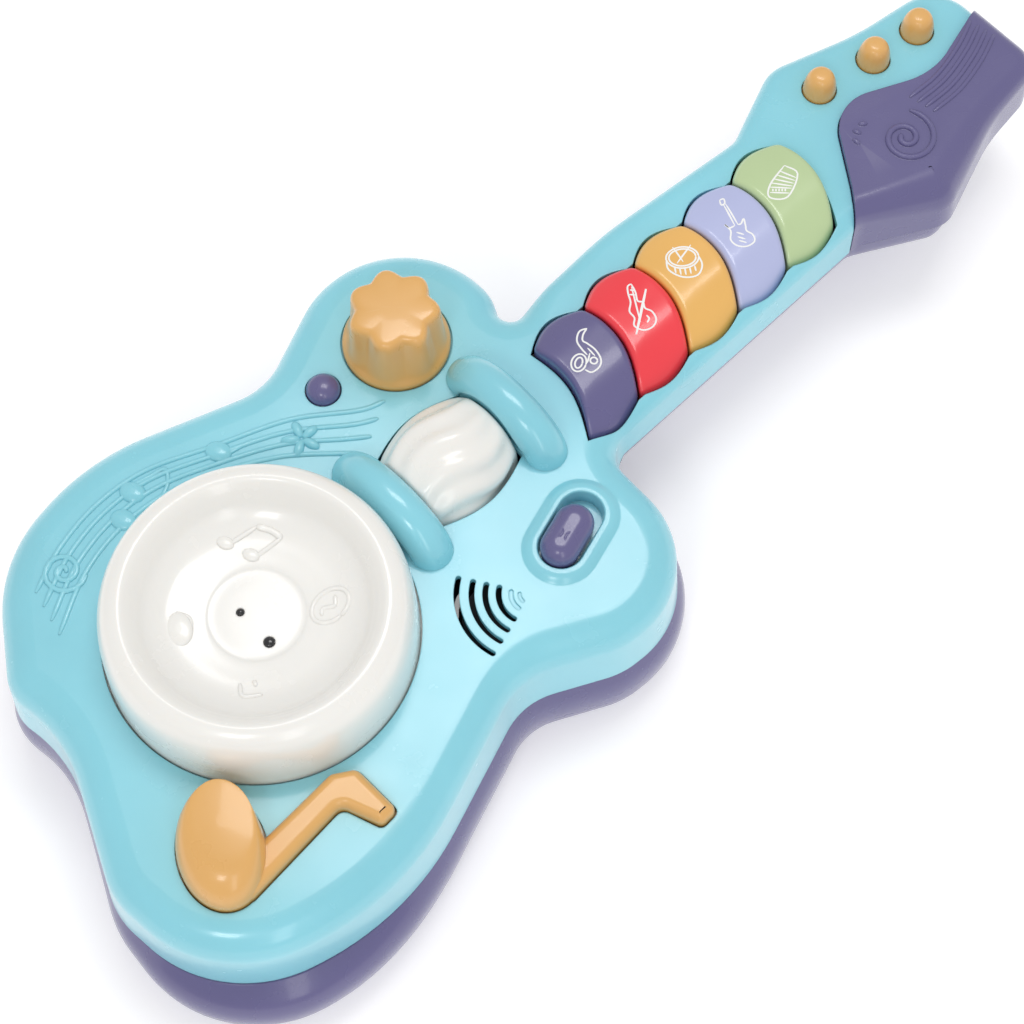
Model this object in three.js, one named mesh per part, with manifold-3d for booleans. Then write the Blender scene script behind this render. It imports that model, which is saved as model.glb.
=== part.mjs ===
// Toy electric guitar with light and sound: a two-part moulded case, drum pad, neck keys,
// note button, rotary knob, fluted roller, slide switch, peg buttons and the works inside.
// Millimetres, +Z up, +Y along the neck. While the pieces are built, x = 0, y = 0 is beside the
// middle of the drum and the underside is z = 0; at the end all is centred on its footprint.
import * as THREE from 'three';
import { mergeVertices } from 'three/addons/utils/BufferGeometryUtils.js';
import Module from 'manifold-3d';

const wasm = await Module();
wasm.setup();

// ---------------------------------------------------------------- driving dimensions
const TOP_Z = 52; // flat top of the body and neck
const SEAM_Z = 25; // parting line round the body
const NECK_SEAM_Z = 35; // parting line round the neck and headstock
const NECK_BACK_Z = 19; // lowest line of the neck's back
const WALL = 2.5; // shell thickness
const GAP = 0.3; // clearance between neighbouring pieces
const BODY_ROLL = 10; // rounded shoulder of the body
const NECK_ROLL = 6; // rounded shoulder of the neck and headstock
const DRAFT = 1.2; // how far the walls lean in from seam to shoulder

const DRUM = { x: -0.1, y: 1.9 };
const DRUM_R = 46;
const DRUM_RISE = 25; // rim above the body top
const DRUM_FLANGE_R = 48.5;
const KNOB = { x: -42.9, y: 94.1, r: 16.6, rise: 21.5, lobes: 7 };
const DOME = { x: -46, y: 66.9, r: 5.2, rise: 4 };
const ROLLER = { x: -2.6, y0: 61, y1: 95, rMid: 18, rEnd: 13.6, z: TOP_Z - 3 };
const ARCH = { x: -1.8, halfSpan: 17, rise: 10, tube: 6.6, y: [54.7, 101.3] };
const SWITCH = { x: 39.2, y: 88.5, length: 26, width: 13.6, angle: 0.3, depth: 4, travel: 5 };
const GRILLE = { x: 45, y: 66, radii: [21.3, 16.9, 12.9, 9], width: 2, from: 3.72, to: 5.0 };
const NOTE = { x: 42, y: -49.5, rx: 17, ry: 12.5, tilt: -0.5 };
const NOTE_SWITCH = { x: 40, y: -47 };
const KEYS = { count: 5, pitch: 21.6, left: -11.2, right: 21.2, bulge: 2.4, yLeft: 121, yRight: 113.5 };
const PEGS = [[-16.8, 254], [-12.8, 275], [-10.6, 293.4]];
const PEG_R = 5.3;
const PRESS_FLANGE = 1.4; // retaining lip of the push buttons
const SPEAKER = { x: 42, y: 56, r: 13.5, z: TOP_Z - 5.6 };
const CELL = { r: 7.1, length: 50, pitch: 15, y: -17, z: 10.4 };
const HATCH = { x: 0, y: -17, w: 50, l: 62, screwY: 15.5 };
const WELL_ROOF_Z = 20;
const BOARD_Z = 27;
const BOARD_HOLES = [[-26, 30], [26, 30], [-24, -45], [24, -45]];
const CASE_SCREWS = [
  [-64, 104, 0], [60, 106, 0], [-66, -14, 0], [63, 14, 0], [-10, -55, 0], [-17.8, 241, NECK_BACK_Z],
];
// Posts of the lower shell that carry the switches, boards and loudspeaker: [x, y, base, top, r].
const STANDS = [
  [NOTE_SWITCH.x, NOTE_SWITCH.y, 1, TOP_Z - 14, 4.2],
  [DOME.x, DOME.y, 1, TOP_Z - 14, 4.2],
  [KNOB.x, KNOB.y, 1, TOP_Z - 17, 5],
  [SWITCH.x, SWITCH.y, 1, TOP_Z - 19, 4],
  [SPEAKER.x, SPEAKER.y, 1, SPEAKER.z - 12, 5],
  [3, 150, NECK_BACK_Z, TOP_Z - 16.4, 3],
  [3, 214, NECK_BACK_Z, TOP_Z - 16.4, 3],
  [-13.4, 270, NECK_BACK_Z, TOP_Z - 15.6, 3],
];

// Corner points of the outlines as [x, y, corner radius], anticlockwise from above.
const BODY_CORNERS = [
  [-81, 130, 35], [-76, 86, 35], [-63, 56, 22], [-82, 1, 74], [-74, -40, 47], [-39, -64, 15],
  [-18, -60, 47], [28, -81, 27], [69, -77, 42], [86, -21, 88], [61, 48, 23], [75, 76, 27],
  [78, 116, 31], [0, 118, 12], [-26, 124.5, 12], [-37, 130.2, 20],
];
const NECK_CORNERS = [
  [26.8, 90, 12], [25.8, 229, 7], [40.5, 256, 10], [29, 288, 60], [25.8, 314.5, 10], [-21, 315, 16],
  [-25.6, 280, 90], [-35.2, 249.5, 14], [-24, 222, 8], [-28.8, 168, 120], [-24.5, 90, 12],
];
// The S-shaped joint between the aqua headstock and its slate cover, then round the outside.
const COVER_CORNERS = [
  [-6.5, 325, 1], [4.8, 284, 26], [-9.8, 252, 15], [15.5, 234, 18], [34, 219, 1], [60, 225, 1],
  [60, 325, 1],
];

const COLOURS = {
  aqua: 0x9fdeea, slate: 0x6f6a94, ivory: 0xf2f0ea, tan: 0xecba78, red: 0xf94b55,
  orange: 0xf0b96c, lavender: 0xbcc3e6, green: 0xc5d7a8, black: 0x202024, steel: 0xb9bcc0,
  board: 0x2f7a4a, rubber: 0xd8d8d2, brass: 0xc9a35a, paper: 0x3b3b3f, label: 0x4f6f8f,
};

// ---------------------------------------------------------------- outlines
// Closed outline with every corner replaced by an arc of its radius.
function roundedOutline(corners, stepDegrees = 15, shortest = 1.6) {
  const points = [];
  const count = corners.length;
  for (let i = 0; i < count; i += 1) {
    const [px, py] = corners[(i + count - 1) % count];
    const [cx, cy, radius] = corners[i];
    const [nx, ny] = corners[(i + 1) % count];
    const corner = new THREE.Vector2(cx, cy);
    const back = new THREE.Vector2(px, py).sub(corner).normalize();
    const ahead = new THREE.Vector2(nx, ny).sub(corner).normalize();
    const half = Math.acos(THREE.MathUtils.clamp(back.dot(ahead), -1, 1)) / 2;
    const centre = back.clone().add(ahead).normalize().multiplyScalar(radius / Math.sin(half)).add(corner);
    const start = corner.clone().addScaledVector(back, radius / Math.tan(half)).sub(centre);
    const end = corner.clone().addScaledVector(ahead, radius / Math.tan(half)).sub(centre);
    const sweep = Math.atan2(start.cross(end), start.dot(end));
    const steps = Math.max(2, Math.ceil(Math.abs(sweep) / THREE.MathUtils.degToRad(stepDegrees)));
    for (let k = 0; k <= steps; k += 1) {
      points.push(start.clone().rotateAround(new THREE.Vector2(), (sweep * k) / steps).add(centre));
    }
  }
  return points.filter((p, i) => p.distanceTo(points[(i + 1) % points.length]) > shortest);
}

function circleOutline(x, y, r, steps = 48) {
  return Array.from({ length: steps }, (_, k) => {
    const a = (k / steps) * Math.PI * 2;
    return new THREE.Vector2(x + r * Math.cos(a), y + r * Math.sin(a));
  });
}

function ellipseOutline(x, y, rx, ry, tilt, steps = 28) {
  const centre = new THREE.Vector2(x, y);
  return circleOutline(0, 0, 1, steps).map((p) =>
    new THREE.Vector2(p.x * rx, p.y * ry).rotateAround(new THREE.Vector2(), tilt).add(centre));
}

// Straight slot with round ends; angle is its long direction, measured from +Y.
function pillOutline(x, y, length, width, angle, steps = 9) {
  const points = [];
  for (const [side, first] of [[1, 0], [-1, Math.PI]]) {
    for (let k = 0; k <= steps; k += 1) {
      const a = first + (k / steps) * Math.PI;
      const along = side * (length - width) / 2 + Math.sin(a) * width / 2;
      points.push(new THREE.Vector2(Math.cos(a) * width / 2, along));
    }
  }
  const centre = new THREE.Vector2(x, y);
  return points.map((p) => p.rotateAround(new THREE.Vector2(), angle).add(centre));
}

function boxOutline(x, y, w, l) {
  return [[-1, -1], [1, -1], [1, 1], [-1, 1]].map(([sx, sy]) =>
    new THREE.Vector2(x + (sx * w) / 2, y + (sy * l) / 2));
}

// Ring of the same number of points, moved inwards by inset (outwards if negative), which is
// one distance or a function of the point.
function insetRing(points, inset) {
  const count = points.length;
  return points.map((p, i) => {
    const before = p.clone().sub(points[(i + count - 1) % count]).normalize();
    const after = points[(i + 1) % count].clone().sub(p).normalize();
    const normal = new THREE.Vector2(-before.y - after.y, before.x + after.x).normalize();
    const slant = Math.max(0.5, normal.dot(new THREE.Vector2(-before.y, before.x)));
    const distance = typeof inset === 'function' ? inset(p) : inset;
    return p.clone().addScaledVector(normal, distance / slant);
  });
}

// ---------------------------------------------------------------- solids
function geometryFrom(vertices, indices) {
  const geometry = new THREE.BufferGeometry();
  geometry.setAttribute('position', new THREE.Float32BufferAttribute(vertices, 3));
  geometry.setIndex(indices);
  return geometry;
}

// Stacks one outline at several heights; each level is [z, inset].
function stacked(outline, levels) {
  const count = outline.length;
  const vertices = [];
  const indices = [];
  const rings = levels.map(([z, inset]) => {
    const ring = insetRing(outline, inset);
    ring.forEach((p) => vertices.push(p.x, p.y, z));
    return ring;
  });
  for (let level = 0; level < levels.length - 1; level += 1) {
    for (let i = 0; i < count; i += 1) {
      const a = level * count + i;
      const b = level * count + ((i + 1) % count);
      indices.push(a, b, b + count, a, b + count, a + count);
    }
  }
  const last = (levels.length - 1) * count;
  for (const [p, q, r] of THREE.ShapeUtils.triangulateShape(rings[0], [])) indices.push(p, r, q);
  for (const [p, q, r] of THREE.ShapeUtils.triangulateShape(rings[levels.length - 1], [])) {
    indices.push(last + p, last + q, last + r);
  }
  return toManifold(geometryFrom(vertices, indices));
}

function toManifold(geometry) {
  const bare = new THREE.BufferGeometry();
  bare.setAttribute('position', geometry.getAttribute('position').clone());
  if (geometry.index) bare.setIndex(geometry.index.clone());
  const merged = mergeVertices(bare, 1e-4);
  const source = merged.index.array;
  const kept = [];
  for (let i = 0; i < source.length; i += 3) {
    const [a, b, c] = [source[i], source[i + 1], source[i + 2]];
    if (a !== b && b !== c && a !== c) kept.push(a, b, c);
  }
  return new wasm.Manifold(new wasm.Mesh({
    numProp: 3,
    vertProperties: Float32Array.from(merged.getAttribute('position').array),
    triVerts: Uint32Array.from(kept),
  }));
}

function prism(outline, z0, z1) {
  return stacked(outline, [[z0, 0], [z1, 0]]);
}

function block(x, y, z, w, l, h) {
  return prism(boxOutline(x, y, w, l), z, z + h);
}

function rod(x, y, z0, z1, r, steps = 16) {
  return prism(circleOutline(x, y, r, steps), z0, z1);
}

// Turned solid about a vertical axis; the profile is [radius, z] from axis to axis.
function turned(x, y, profile, steps = 40) {
  const lathe = new THREE.LatheGeometry(profile.map(([r, z]) => new THREE.Vector2(r, z)), steps);
  lathe.rotateX(Math.PI / 2);
  lathe.translate(x, y, 0);
  const solid = toManifold(lathe);
  return solid.volume() < 0 ? toManifold(flipped(lathe)) : solid;
}

function flipped(geometry) {
  const copy = mergeVertices(geometry.clone().deleteAttribute('normal').deleteAttribute('uv'), 1e-4);
  const order = Array.from(copy.index.array);
  for (let i = 0; i < order.length; i += 3) [order[i], order[i + 1]] = [order[i + 1], order[i]];
  copy.setIndex(order);
  return copy;
}

// Solid round bar along Y with its own radius at each station [y, radius].
function barAlongY(x, z, stations, steps = 28) {
  const profile = [[0, stations[0][0]], ...stations.map(([y, r]) => [r, y]), [0, stations.at(-1)[0]]];
  const lathe = new THREE.LatheGeometry(profile.map(([r, y]) => new THREE.Vector2(r, y)), steps);
  lathe.translate(x, 0, z);
  return toManifold(lathe);
}

// Levels of a wall that leans in a little, then rolls over to a flat top.
function rolledLevels(z0, z1, roll, draft, inset = 0, steps = 4) {
  const levels = [[z0, inset], [z1 - roll, inset + draft]];
  for (let k = 1; k <= steps; k += 1) {
    const a = (k / steps) * (Math.PI / 2);
    levels.push([z1 - roll + roll * Math.sin(a), inset + draft + roll * (1 - Math.cos(a))]);
  }
  return levels;
}

function addAll(first, others) {
  return others.reduce((solid, other) => solid.add(other), first);
}

function subtractAll(first, others) {
  return others.reduce((solid, other) => solid.subtract(other), first);
}

// ---------------------------------------------------------------- outlines of this guitar
const bodyOutline = roundedOutline(BODY_CORNERS);
const neckOutline = roundedOutline(NECK_CORNERS);
const coverRegion = roundedOutline(COVER_CORNERS, 9);

// Line between two keys: up from the left notch, over a low hump, down to the right notch.
function keySeam(index, steps = 6) {
  const points = [];
  for (let k = 0; k <= steps; k += 1) {
    const t = k / steps;
    const x = THREE.MathUtils.lerp(KEYS.left, KEYS.right, t);
    const y = THREE.MathUtils.lerp(KEYS.yLeft, KEYS.yRight, t) + KEYS.pitch * index;
    points.push(new THREE.Vector2(x, y + 4 * Math.sin(Math.PI * t)));
  }
  return points;
}

// One key: its lower and upper seams joined by sides that bulge past the notches.
function keyOutline(index) {
  const lower = keySeam(index);
  const upper = keySeam(index + 1).reverse();
  const side = (from, to, bulge) => [1, 2, 3, 4, 5].map((k) => {
    const t = k / 6;
    const p = from.clone().lerp(to, t);
    return new THREE.Vector2(p.x + bulge * Math.sin(Math.PI * t), p.y);
  });
  return [
    ...lower,
    ...side(lower.at(-1), upper[0], KEYS.bulge),
    ...upper,
    ...side(upper.at(-1), lower[0], -4.5),
  ];
}

// The tan eighth note seen from above: oval head, stem and drooping flag.
function noteParts(grow) {
  const head = ellipseOutline(NOTE.x, NOTE.y, NOTE.rx + grow, NOTE.ry + grow, NOTE.tilt);
  const stem = roundedOutline([
    [58.6 + grow, -56, 3], [55.4 + grow, -17, 3], [67 + grow, -12.5 - grow, 3], [66.5 + grow, -5 + grow, 3],
    [50.5, -6.5 + grow, 3], [46.5 - grow, -13, 3], [48.5 - grow, -52, 3],
  ], 20, 0.3);
  return { head, stem };
}

// ---------------------------------------------------------------- upper shell
function archRib(y) {
  const rings = 9;
  const sides = 12;
  const vertices = [];
  const indices = [];
  for (let i = 0; i <= rings; i += 1) {
    const a = Math.PI * (i / rings);
    const centre = new THREE.Vector3(ARCH.x - ARCH.halfSpan * Math.cos(a), y, TOP_Z + ARCH.rise * Math.sin(a) - 1.2);
    const out = new THREE.Vector3(-Math.cos(a), 0, Math.sin(a));
    for (let k = 0; k < sides; k += 1) {
      const b = (k / sides) * Math.PI * 2;
      const p = centre.clone().addScaledVector(out, ARCH.tube * Math.cos(b));
      vertices.push(p.x, p.y + ARCH.tube * Math.sin(b), p.z);
    }
  }
  for (let i = 0; i < rings; i += 1) {
    for (let k = 0; k < sides; k += 1) {
      const a = i * sides + k;
      const b = i * sides + ((k + 1) % sides);
      indices.push(a, b, b + sides, a, b + sides, a + sides);
    }
  }
  for (let k = 1; k < sides - 1; k += 1) {
    indices.push(0, k + 1, k);
    const last = rings * sides;
    indices.push(last, last + k, last + k + 1);
  }
  const rib = toManifold(geometryFrom(vertices, indices));
  return rib.volume() < 0 ? toManifold(flipped(geometryFrom(vertices, indices))) : rib;
}

// Raised staff lines: arcs about the drum that run up the left shoulder.
function staffLine(radius) {
  const width = 0.7;
  const inner = [];
  const outer = [];
  for (let k = 0; k <= 9; k += 1) {
    const a = THREE.MathUtils.degToRad(126 + (k / 9) * 90);
    inner.push(new THREE.Vector2((radius - width) * Math.cos(a), (radius - width) * Math.sin(a)));
    outer.push(new THREE.Vector2((radius + width) * Math.cos(a), (radius + width) * Math.sin(a)));
  }
  return prism([...outer, ...inner.reverse()], TOP_Z - 0.6, TOP_Z + 0.7);
}

// One curved slot of the loudspeaker grille.
function grilleSlot(radius, z0, z1) {
  const steps = 6;
  const arc = (r) => Array.from({ length: steps + 1 }, (_, k) => {
    const a = GRILLE.from + ((GRILLE.to - GRILLE.from) * k) / steps;
    return new THREE.Vector2(GRILLE.x + r * Math.cos(a), GRILLE.y + r * Math.sin(a));
  });
  return prism([...arc(radius + GRILLE.width / 2), ...arc(radius - GRILLE.width / 2).reverse()], z0, z1);
}

function upperCavity() {
  const body = stacked(bodyOutline, rolledLevels(SEAM_Z - 2, TOP_Z - WALL, BODY_ROLL - 1.5, DRAFT, WALL, 3));
  const neck = stacked(neckOutline, rolledLevels(NECK_SEAM_Z - 2, TOP_Z - WALL, NECK_ROLL - 1.5, 0.6, WALL - 0.5, 3));
  return body.add(neck);
}

function upperShell() {
  const body = stacked(bodyOutline, rolledLevels(SEAM_Z + GAP / 2, TOP_Z, BODY_ROLL, DRAFT));
  const neck = stacked(neckOutline, rolledLevels(NECK_SEAM_Z + GAP / 2, TOP_Z, NECK_ROLL, 0.6));
  let shell = body.add(neck).subtract(upperCavity());
  shell = addAll(shell, ARCH.y.map(archRib));
  shell = addAll(shell, [61, 64.6, 68.2, 71.8].map((r) => staffLine(r * 0.955)));
  const rim = stacked(pillOutline(SWITCH.x, SWITCH.y, SWITCH.length + 10, SWITCH.width + 10, SWITCH.angle),
    [[TOP_Z - SWITCH.depth - 2, 0], [TOP_Z + 0.2, 0.6], [TOP_Z + 1.2, 2], [TOP_Z + 1.7, 3.4]]);
  shell = shell.add(rim);
  for (const [x, y, back] of CASE_SCREWS) {
    const seam = back ? NECK_SEAM_Z : SEAM_Z;
    shell = shell.add(rod(x, y, seam + GAP, TOP_Z - 1, 3.6, 12));
    shell = shell.subtract(rod(x, y, seam - 1, seam + 12, 1.5, 8));
  }
  const cuts = [
    prism(coverRegion, NECK_SEAM_Z - 4, TOP_Z + 9),
    rod(DRUM.x, DRUM.y, TOP_Z - 9, TOP_Z + 2, DRUM_R + 0.5, 60),
    rod(KNOB.x, KNOB.y, TOP_Z - 1, TOP_Z + 3, KNOB.r + 0.5, 40),
    rod(KNOB.x, KNOB.y, TOP_Z - 9, TOP_Z, 3.4, 20),
    rod(DOME.x, DOME.y, TOP_Z - 9, TOP_Z + 3, DOME.r + 0.4, 22),
    stacked(pillOutline(SWITCH.x, SWITCH.y, SWITCH.length, SWITCH.width, SWITCH.angle),
      [[TOP_Z - SWITCH.depth, 0.6], [TOP_Z + 5, 0]]),
    prism(pillOutline(SWITCH.x, SWITCH.y, 14, 4, SWITCH.angle), TOP_Z - 12, TOP_Z),
    ...GRILLE.radii.map((r) => grilleSlot(r, TOP_Z - 5, TOP_Z + 2)),
    grilleSlot(5, TOP_Z - 0.7, TOP_Z + 2),
    ...PEGS.map(([x, y]) => rod(x, y, TOP_Z - 9, TOP_Z + 3, PEG_R + 0.4, 22)),
    ...Object.values(noteParts(0.4)).map((outline) => prism(outline, TOP_Z - 9, TOP_Z + 2)),
    ...Array.from({ length: KEYS.count }, (_, i) =>
      prism(insetRing(keyOutline(i), -0.35), TOP_Z - 9, TOP_Z + 9)),
    barAlongY(ROLLER.x, ROLLER.z, rollerStations(0.5)),
  ];
  return addRollerCradle(subtractAll(shell, cuts));
}

// Two cheeks under the arches, bored for the roller's axle.
function addRollerCradle(shell) {
  const height = TOP_Z - 1 - ROLLER.z + 6;
  const cheeks = [ROLLER.y0 - 2.4, ROLLER.y1 + 2.4].map((y) =>
    block(ROLLER.x, y, ROLLER.z - 6, 12, 3, height));
  const bore = barAlongY(ROLLER.x, ROLLER.z, [[ROLLER.y0 - 4.4, 1.8], [ROLLER.y1 + 4.4, 1.8]], 16);
  return addAll(shell, cheeks).subtract(bore);
}

// ---------------------------------------------------------------- lower shell
// The tub swells past the upper shell most at the lower right and hardly at all on the left.
function tubBulge(p) {
  const end = THREE.MathUtils.smoothstep(-p.y, -10, 60);
  const right = THREE.MathUtils.smoothstep(p.x, 0, 60);
  const farRight = THREE.MathUtils.smoothstep(p.x, 20, 75);
  return 1.6 * right - 0.4 + 5.9 * farRight * end;
}

function lowerShell() {
  const swollen = (level, share) => (p) => level - share * tubBulge(p);
  const tub = stacked(bodyOutline, [
    [0, swollen(5, 0.6)], [1.6, swollen(2, 0.9)], [6, swollen(-1, 1)], [14, swollen(-1.8, 1)],
    [SEAM_Z - GAP / 2, 0.3],
  ]).subtract(stacked(bodyOutline, [[WALL, 7], [7, 2.2], [SEAM_Z + 2, 2.8]]));
  const backLevels = [
    [NECK_BACK_Z, 8], [NECK_BACK_Z + 2, 5], [NECK_BACK_Z + 5.5, 3], [NECK_BACK_Z + 10, 1.9],
    [NECK_SEAM_Z - GAP / 2, 1.5],
  ];
  const backHollow = [
    [NECK_BACK_Z + WALL, 8.6], [NECK_BACK_Z + 5, 6], [NECK_BACK_Z + 9, 4.6], [NECK_SEAM_Z + 1, 4],
  ];
  const back = stacked(neckOutline, backLevels)
    .subtract(stacked(neckOutline, backHollow))
    .subtract(prism(insetRing(bodyOutline, -0.4), SEAM_Z - 1, NECK_SEAM_Z + 2));
  let shell = tub.add(back);
  const well = block(HATCH.x, HATCH.y, 1, HATCH.w + 4, HATCH.l + 4, WELL_ROOF_Z - 1);
  shell = addAll(shell, [well, rod(HATCH.x, HATCH.screwY, 1, 11, 3.6, 14)]);
  for (const [x, y, base] of CASE_SCREWS) {
    const seam = base ? NECK_SEAM_Z : SEAM_Z;
    shell = shell.add(rod(x, y, base + 1, seam - GAP, 4.8, 14));
    shell = shell.subtract(rod(x, y, base - 2, base + 9, 3.2, 14));
    shell = shell.subtract(rod(x, y, base + 5, seam + 1, 1.5, 8));
  }
  shell = addAll(shell, STANDS.map(([x, y, base, top, r]) => rod(x, y, base + 0.5, top - GAP, r, 12)));
  const cuts = [
    block(HATCH.x, HATCH.y, -1, HATCH.w - 3, HATCH.l - 3, WELL_ROOF_Z - 1.5 + 1),
    block(HATCH.x, HATCH.y, -1, HATCH.w + 0.6, HATCH.l + 0.6, 3.5),
    rod(HATCH.x, HATCH.screwY, -1, 2.5, 3.8, 20),
    rod(HATCH.x, HATCH.screwY, 1, 10, 1.5, 10),
  ];
  shell = subtractAll(shell, cuts);
  const boardPosts = BOARD_HOLES.map(([x, y]) =>
    rod(x, y, y > HATCH.y + HATCH.l / 2 ? 1.5 : WELL_ROOF_Z - 1, BOARD_Z - GAP, 2.4, 10));
  return addAll(shell, boardPosts);
}

// ---------------------------------------------------------------- headstock cover
function headstockCover() {
  const rise = 2.4;
  const outer = stacked(insetRing(neckOutline, 0), rolledLevels(NECK_SEAM_Z + GAP / 2, TOP_Z + rise, NECK_ROLL, 1))
    .intersect(prism(insetRing(coverRegion, GAP), NECK_SEAM_Z - 3, TOP_Z + 9));
  const inner = stacked(insetRing(neckOutline, 0), rolledLevels(NECK_SEAM_Z - 2, TOP_Z + rise - WALL, 4, 1, WALL, 3))
    .intersect(prism(insetRing(coverRegion, GAP + WALL), NECK_SEAM_Z - 3, TOP_Z + 9));
  let cover = outer.subtract(inner);
  for (let k = 0; k < 4; k += 1) {
    const x = 4.6 + 3.1 * k;
    cover = cover.subtract(block(x, 297, TOP_Z + rise - 0.6, 0.9, 26, 2));
  }
  const spiral = rod(13.5, 258, TOP_Z + rise - 0.6, TOP_Z + rise + 1, 8.2, 32)
    .subtract(rod(13.5, 258, TOP_Z + rise - 2, TOP_Z + rise + 2, 7, 32));
  return cover.subtract(spiral);
}

// ---------------------------------------------------------------- controls
function drumPad() {
  const top = TOP_Z + DRUM_RISE;
  const lip = TOP_Z - WALL - GAP;
  const profile = [
    [0, TOP_Z + 13], [14, TOP_Z + 13], [26, TOP_Z + 14.5], [31.5, TOP_Z + 17.5], [34.5, top - 1.2],
    [37.5, top], [40.5, top - 0.6], [43.2, top - 3], [44.9, top - 7], [45.4, TOP_Z + 8],
    [DRUM_R, TOP_Z - 1], [DRUM_R, lip], [DRUM_FLANGE_R, lip], [DRUM_FLANGE_R, lip - 1.5],
    [DRUM_R - 2.4, lip - 1.5], [42.6, TOP_Z + 12], [37.5, top - 3], [34, TOP_Z + 16.5],
    [26, TOP_Z + 11.8], [5, TOP_Z + 10.6], [5, TOP_Z - 2], [0, TOP_Z - 2],
  ];
  const eyes = eyePlaces().map(([x, y, r]) => rod(x, y, TOP_Z + 11.4, TOP_Z + 16, r + GAP / 2, 16));
  return subtractAll(turned(DRUM.x, DRUM.y, profile, 44), eyes);
}

function eyePlaces() {
  return [[DRUM.x - 3.8, DRUM.y - 3, 1.1], [DRUM.x + 8.7, DRUM.y - 3, 1.6]];
}

function eyeBead([x, y, r]) {
  return turned(x, y, [[0, TOP_Z + 11.7], [r, TOP_Z + 11.7], [r, TOP_Z + 13.1], [r * 0.6, TOP_Z + 13.7], [0, TOP_Z + 13.9]], 16);
}

// Cross-section of the key row: arched over the neck, lower at both edges.
function keyArchBar() {
  const y0 = 105;
  const length = 130;
  const shape = new THREE.Shape();
  shape.moveTo(-18, TOP_Z - 8);
  shape.lineTo(28, TOP_Z - 8);
  shape.lineTo(28, TOP_Z - 5.5);
  shape.quadraticCurveTo(20, TOP_Z + 4.4, 7, TOP_Z + 4.8);
  shape.quadraticCurveTo(-13, TOP_Z + 5, -18, TOP_Z - 2.5);
  shape.closePath();
  const bar = new THREE.ExtrudeGeometry(shape, { depth: length, bevelEnabled: false, curveSegments: 6 });
  bar.rotateX(Math.PI / 2);
  bar.translate(0, y0 + length, 0);
  return toManifold(bar);
}

function neckKey(index) {
  const cap = prism(insetRing(keyOutline(index), 0.25), TOP_Z - 8, TOP_Z + 9).intersect(keyArchBar());
  const y = KEYS.yLeft - 3.5 + KEYS.pitch * (index + 0.5);
  const stem = block(6, y, TOP_Z - 9.5, 20, 8, 4);
  return cap.add(stem);
}

function noteButton() {
  const { head, stem } = noteParts(0);
  const lip = TOP_Z - WALL - GAP;
  const dome = stacked(head, [
    [lip - 1.5, 0], [TOP_Z + 1, 0], [TOP_Z + 7, 1.2], [TOP_Z + 10.8, 3.2], [TOP_Z + 12.2, 6], [TOP_Z + 12.6, 9],
  ]);
  const bar = stacked(stem, [[lip - 1.5, 0], [TOP_Z + 2.6, 0.3], [TOP_Z + 4.2, 1.4]]);
  const wide = noteParts(PRESS_FLANGE);
  const flange = prism(wide.head, lip - 1.5, lip).add(prism(wide.stem, lip - 1.5, lip))
    .subtract(rod(DRUM.x, DRUM.y, lip - 2, lip + 1, DRUM_FLANGE_R + 0.5, 72));
  return dome.add(bar).add(flange)
    .subtract(stacked(head, [[lip - 2, 3], [TOP_Z + 5.5, 4.2], [TOP_Z + 8, 8]]))
    .add(rod(NOTE_SWITCH.x, NOTE_SWITCH.y, TOP_Z - 5.6, TOP_Z + 9, 2.4, 12));
}

function pushDome(x, y, r, rise) {
  const lip = TOP_Z - WALL - GAP;
  return turned(x, y, [
    [0, TOP_Z + rise], [r * 0.45, TOP_Z + rise * 0.93], [r * 0.78, TOP_Z + rise * 0.68], [r * 0.96, TOP_Z + rise * 0.3],
    [r, TOP_Z], [r, lip], [r + PRESS_FLANGE, lip], [r + PRESS_FLANGE, lip - 1.2], [1.6, lip - 1.2],
    [1.6, lip - 3.5], [0, lip - 3.5],
  ], 18);
}

// Star-shaped knob: a round skirt that grows into seven lobes.
function knob() {
  const { x, y, r, rise, lobes } = KNOB;
  const steps = 42;
  const base = circleOutline(0, 0, 1, steps);
  const ring = (radius, wave) => base.map((p, i) => {
    const a = (i / steps) * Math.PI * 2;
    const scale = radius + wave * Math.cos(lobes * a);
    return new THREE.Vector2(x + p.x * scale, y + p.y * scale);
  });
  const levels = [
    [-0.6, r, 0], [1.6, r, 0], [3, r - 0.9, 0.5], [8, r - 2.2, 1.2], [15, r - 3, 1.5],
    [rise - 3, r - 3.4, 1.6], [rise - 0.8, r - 4.4, 1.6], [rise, r - 6.6, 1.4],
  ];
  const vertices = [];
  const indices = [];
  levels.forEach(([z, radius, wave]) => ring(radius, wave).forEach((p) => vertices.push(p.x, p.y, TOP_Z + z)));
  for (let level = 0; level < levels.length - 1; level += 1) {
    for (let i = 0; i < steps; i += 1) {
      const a = level * steps + i;
      const b = level * steps + ((i + 1) % steps);
      indices.push(a, b, b + steps, a, b + steps, a + steps);
    }
  }
  const last = (levels.length - 1) * steps;
  for (let i = 1; i < steps - 1; i += 1) {
    indices.push(0, i + 1, i);
    indices.push(last, last + i, last + i + 1);
  }
  return toManifold(geometryFrom(vertices, indices)).add(rod(x, y, TOP_Z - 12, TOP_Z + 1, 3, 20));
}

function rollerStations(grow) {
  const stations = [];
  const steps = 5;
  for (let k = 0; k <= steps; k += 1) {
    const t = k / steps;
    const y = THREE.MathUtils.lerp(ROLLER.y0 - grow, ROLLER.y1 + grow, t);
    stations.push([y, ROLLER.rEnd + (ROLLER.rMid - ROLLER.rEnd) * Math.sin(Math.PI * t) + grow]);
  }
  return stations;
}

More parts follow.
